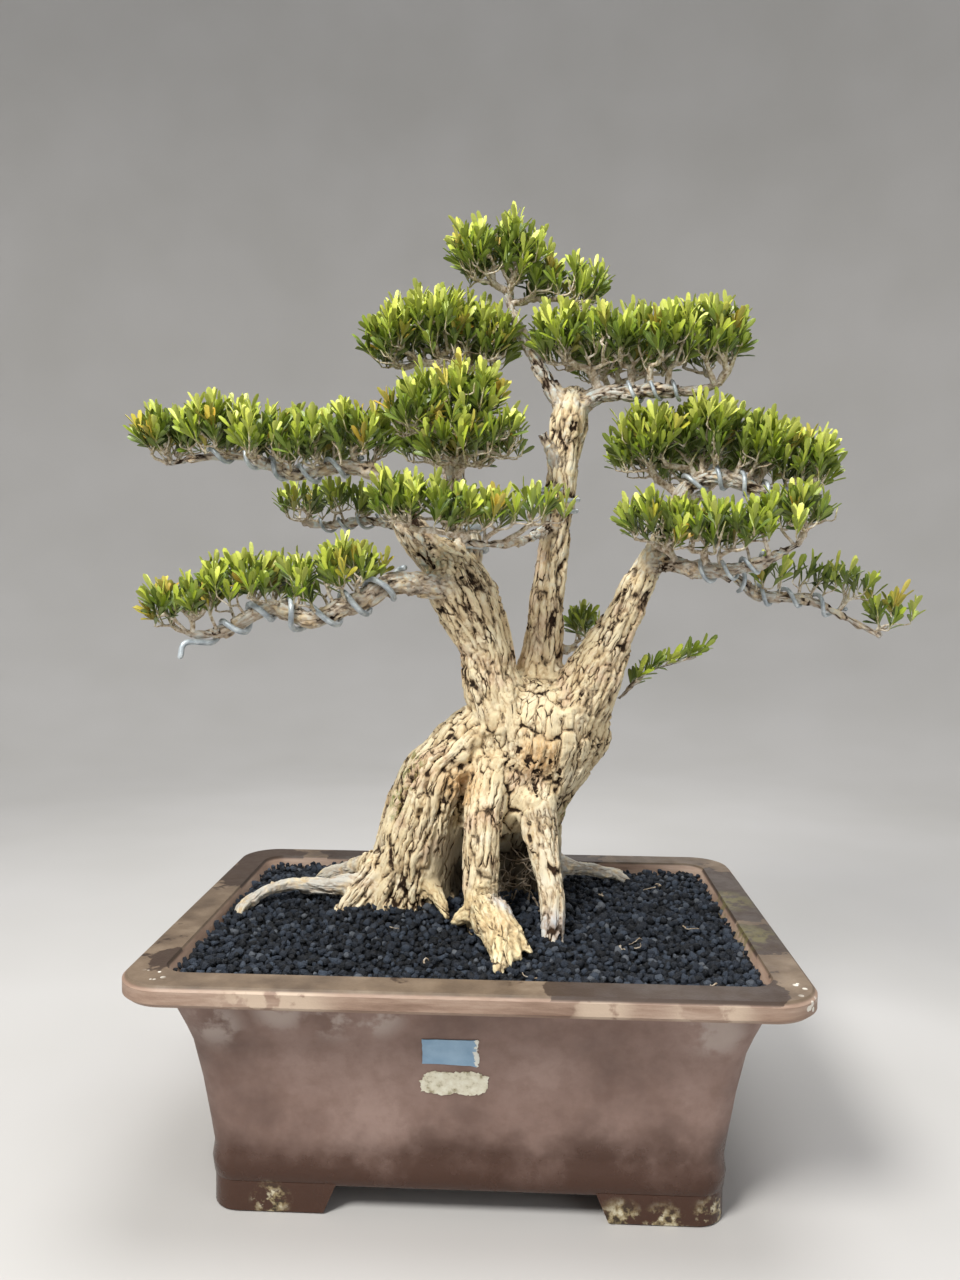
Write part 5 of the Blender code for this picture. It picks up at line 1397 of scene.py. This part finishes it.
def build_soil(material):
    """Loose grains in an uneven layer over a dark bed."""
    draw = random.Random(RANDOM_SEED + 7)
    kinds = grain_templates(draw)
    shells = []
    tones = []
    row_step = GRAIN * math.sqrt(3) / 2
    rows = int(2 * MOUTH_HALF / row_step) + 2
    columns = int(2 * MOUTH_HALF / GRAIN) + 2
    for j, i in itertools.product(range(rows), range(columns)):
        x = (i - columns / 2 + 0.5 * (j % 2) + draw.uniform(-0.28, 0.28)) * GRAIN
        y = (j - rows / 2 + draw.uniform(-0.28, 0.28)) * row_step
        size = GRAIN * (0.42 + 0.40 * draw.random() ** 1.6)
        sunk = draw.uniform(-0.0026, 0.0016)
        points, sides = kinds[draw.randrange(GRAIN_KINDS)]
        angle = draw.uniform(0, 6.28)
        turn = np.array(Matrix.Rotation(angle, 3, Vector((draw.random(), draw.random(), 0.5))))
        squash = np.array([draw.uniform(0.75, 1.15) for _ in range(3)])
        if inside_mouth(x, y):
            middle = shifted((x, y, float(soil_height(x, y)) - size * 0.4 + sunk))
            shells.append(((points * squash * size) @ turn.T + middle, sides))
            tones.extend([draw.random() ** 1.5] * len(points))
    made = new_object("gravel", *joined(shells), material)
    point_values(made, "tone", tones)
    in_place(made, "black_gravel", "soil")


def build_bed(material):
    """The body of the soil under the loose grains."""
    rings = [rounded_rectangle(*row, inset=BED_GAP) for row in POT_INSIDE[1:]][::-1]
    rings[-1] = [(x, y, SOIL_TOP - BED_SUNK) for x, y, _ in rings[-1]]
    made = new_object("soil_bed", *loft([shifted(ring) for ring in rings]), material, smooth=False)
    in_place(made, "black_gravel", "soil")


def rounded_rectangle(half_length, z, corner, inset=0.0, corner_steps=14, side_steps=10):
    """Points round a rectangle with round corners, with its long and short sides divided too."""
    half_x = half_length - inset
    half_y = half_length - PLAN_DIFFERENCE - inset
    points = []
    for quarter, (sx, sy) in enumerate(((1, 1), (-1, 1), (-1, -1), (1, -1))):
        for k in range(corner_steps + 1):
            angle = math.pi / 2 * (quarter + k / corner_steps)
            points.append((sx * (half_x - corner) + corner * math.cos(angle),
                           sy * (half_y - corner) + corner * math.sin(angle), z))
    ring = []
    for quarter in range(4):
        block = points[quarter * (corner_steps + 1):(quarter + 1) * (corner_steps + 1)]
        ring.extend(block)
        here = np.array(block[-1])
        there = np.array(points[((quarter + 1) * (corner_steps + 1)) % len(points)])
        ring.extend(tuple(here + (there - here) * k / side_steps) for k in range(1, side_steps))
    return ring


def fine_rows(rows, step=0.004):
    """The wall's rows with more between them, on straight runs."""
    rows = np.array(rows)
    out = []
    for a, b in zip(rows, rows[1:]):
        pieces = max(1, int(np.linalg.norm((b - a)[:2]) / step))
        out.extend(a + (b - a) * k / pieces for k in range(pieces))
    return out + [rows[-1]]


def foot_shell(sign_x, sign_y):
    """An L-shaped foot with its lower edge broken."""
    outer_x = FOOT_REACH
    outer_y = outer_x - PLAN_DIFFERENCE
    rings = []
    levels = ((0.0, FOOT_SLANT, FOOT_EDGE), (FOOT_EDGE, FOOT_SLANT, 0.0), (BODY_BOTTOM + 0.002, 0.0, 0.0))
    for z, slant, inset in levels:
        arm_x = outer_x - FOOT_FRONT_ARM + slant + inset
        arm_y = outer_y - FOOT_SIDE_ARM + slant + inset
        ring = [(arm_x, outer_y - inset)]
        for k in range(8, -1, -1):
            angle = math.pi / 2 * k / 8
            ring.append((outer_x - FOOT_CORNER + (FOOT_CORNER - inset) * math.cos(angle),
                         outer_y - FOOT_CORNER + (FOOT_CORNER - inset) * math.sin(angle)))
        ring.append((outer_x - inset, arm_y))
        ring.append((outer_x - FOOT_WIDTH + inset, arm_y))
        ring.append((outer_x - FOOT_WIDTH + inset, outer_y - FOOT_WIDTH + inset))
        ring.append((arm_x, outer_y - FOOT_WIDTH + inset))
        points = [shifted((sign_x * x, sign_y * y, z)) for x, y in ring]
        rings.append(points if sign_x * sign_y < 0 else points[::-1])
    return loft(rings)


def build_pot(material):
    rows = fine_rows(POT_OUTSIDE) + fine_rows(POT_INSIDE)
    shell = new_object("wall", *loft([shifted(rounded_rectangle(*row)) for row in rows]))
    drills = []
    for x in (-DRAIN_X, DRAIN_X):
        rings = [level_ring(shifted((x, 0.0, z)), DRAIN_RADIUS, DRAIN_RADIUS, 40)
                 for z in (BODY_BOTTOM - 0.01, FLOOR_TOP + 0.01)]
        drills.append(new_object("drill", *loft(rings), smooth=False))
        cut = shell.modifiers.new("drain", "BOOLEAN")
        cut.operation = "DIFFERENCE"
        cut.object = drills[-1]
    evaluated(shell)
    wall = (vertex_arrays(shell.data)[0], [list(side.vertices) for side in shell.data.polygons])
    for made in [shell, *drills]:
        bpy.data.objects.remove(made, do_unlink=True)
    feet = [foot_shell(sx, sy) for sx in (-1, 1) for sy in (-1, 1)]
    made = new_object("clay_pot", *joined([wall] + feet), material)
    made.data.set_sharp_from_angle(angle=math.radians(POT_SHARP))
    in_place(made, "unglazed_clay", "pot")


def wall_half_depth(z):
    halves, heights, _ = zip(*POT_OUTSIDE)
    return float(np.interp(z, heights, halves)) - PLAN_DIFFERENCE


def build_sticker(name, outline, material, slot, node):
    """Thin paper on the front wall from an outline of x and height, with a slightly uneven edge."""
    draw = random.Random(RANDOM_SEED + len(name))
    outline = np.array(outline) / 1000
    edge = []
    for a, b in zip(outline, np.roll(outline, -1, axis=0)):
        for k in range(8):
            x, z = a + (b - a) * k / 8
            rough = 0.0003 if slot == "blue_paper" and x < 0.006 else 0.0009
            edge.append((x + draw.uniform(-rough, rough), z + draw.uniform(-rough, rough)))
    skins = [[shifted((x, -wall_half_depth(z) - gap, z)) for x, z in edge] for gap in STICKER_SKINS]
    made = new_object(name, *loft(skins), material, smooth=False)
    in_place(made, slot, node)


def build_stage(material):
    """A round floor that sweeps up into a wall."""
    profile = [(0.002, 0.0), (FLOOR_REACH, 0.0)]
    profile += [(FLOOR_REACH + SWEEP * math.sin(a), SWEEP - SWEEP * math.cos(a))
                for a in np.linspace(0.0, math.pi / 2, 16)[1:]]
    profile.append((FLOOR_REACH + SWEEP, WALL_HEIGHT))
    vertices, faces = loft([level_ring((0.0, 0.0, z), reach, reach, 96) for reach, z in profile[::-1]])
    new_object("stage_floor", vertices, faces[:-2], material)


def add_light(name):
    place, size, power, colour = LIGHTS[name]
    light = bpy.data.lights.new(name, "AREA")
    light.shape = "DISK"
    light.size = size
    light.energy = power
    light.color = colour
    made = bpy.data.objects.new(name, light)
    bpy.context.scene.collection.objects.link(made)
    made.location = place
    made.rotation_euler = (Vector(LIGHTS_LOOK_AT) - Vector(place)).to_track_quat("-Z", "Y").to_euler()


def build_lights():
    world = bpy.data.worlds.new("studio")
    bpy.context.scene.world = world
    world.use_nodes = True
    sky = world.node_tree.nodes["Background"].inputs
    sky["Color"].default_value = SKY_COLOUR
    sky["Strength"].default_value = SKY_STRENGTH
    for name in LIGHTS:
        add_light(name)


def build_camera():
    camera = bpy.data.cameras.new("camera")
    camera.sensor_width = SENSOR
    camera.lens = SENSOR * FOCAL_PIXELS / PHOTO_HEIGHT
    camera.clip_start = 0.01
    yaw = math.radians(CAMERA_YAW)
    pitch = math.radians(CAMERA_PITCH)
    roll = math.radians(CAMERA_ROLL)
    forward = Vector((math.sin(yaw) * math.cos(pitch), math.cos(yaw) * math.cos(pitch), -math.sin(pitch)))
    level = Vector((math.cos(yaw), -math.sin(yaw), 0.0))
    lift = level.cross(forward)
    right = math.cos(roll) * level + math.sin(roll) * lift
    up = -math.sin(roll) * level + math.cos(roll) * lift
    made = bpy.data.objects.new("camera", camera)
    bpy.context.scene.collection.objects.link(made)
    turn = Matrix((right, up, -forward)).transposed()
    made.matrix_world = Matrix.Translation(Vector(shifted(CAMERA_PLACE))) @ turn.to_4x4()
    bpy.context.scene.camera = made


def finish_nodes(names, material):
    """Carried-over nodes get their procedural material."""
    for name in names:
        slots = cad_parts[name].material_slots
        if not slots:
            raise RuntimeError(name + " has no material slot")
        for holder in slots:
            holder.link = "OBJECT"
            holder.material = material


def build_scene():
    bpy.context.scene.view_settings.view_transform = "Standard"
    bark = bark_paint()
    build_trunk(bark)
    build_branches(bark)
    wire = wire_paint()
    for name in WIRES:
        build_wire(name, wire)
    leaf = leaf_paint()
    twig = twig_paint()
    wood = wood_balls()
    for name in [*SPRAYS, "sprout"]:
        build_spray(name, wood, leaf, twig)
    build_rootlets(twig)
    build_litter(twig)
    gravel = gravel_paint()
    build_soil(gravel)
    build_bed(gravel)
    build_pot(clay_paint())
    build_sticker("sticker", LABEL_OUTLINE, label_paint(), "blue_paper", "label")
    build_sticker("paper_residue", RESIDUE_OUTLINE, torn_paint(), "torn_paper", "label_residue")
    finish_nodes(("drain_screen_1", "drain_screen_2"), plastic_paint())
    build_stage(floor_paint())
    build_lights()
    build_camera()


build_scene()
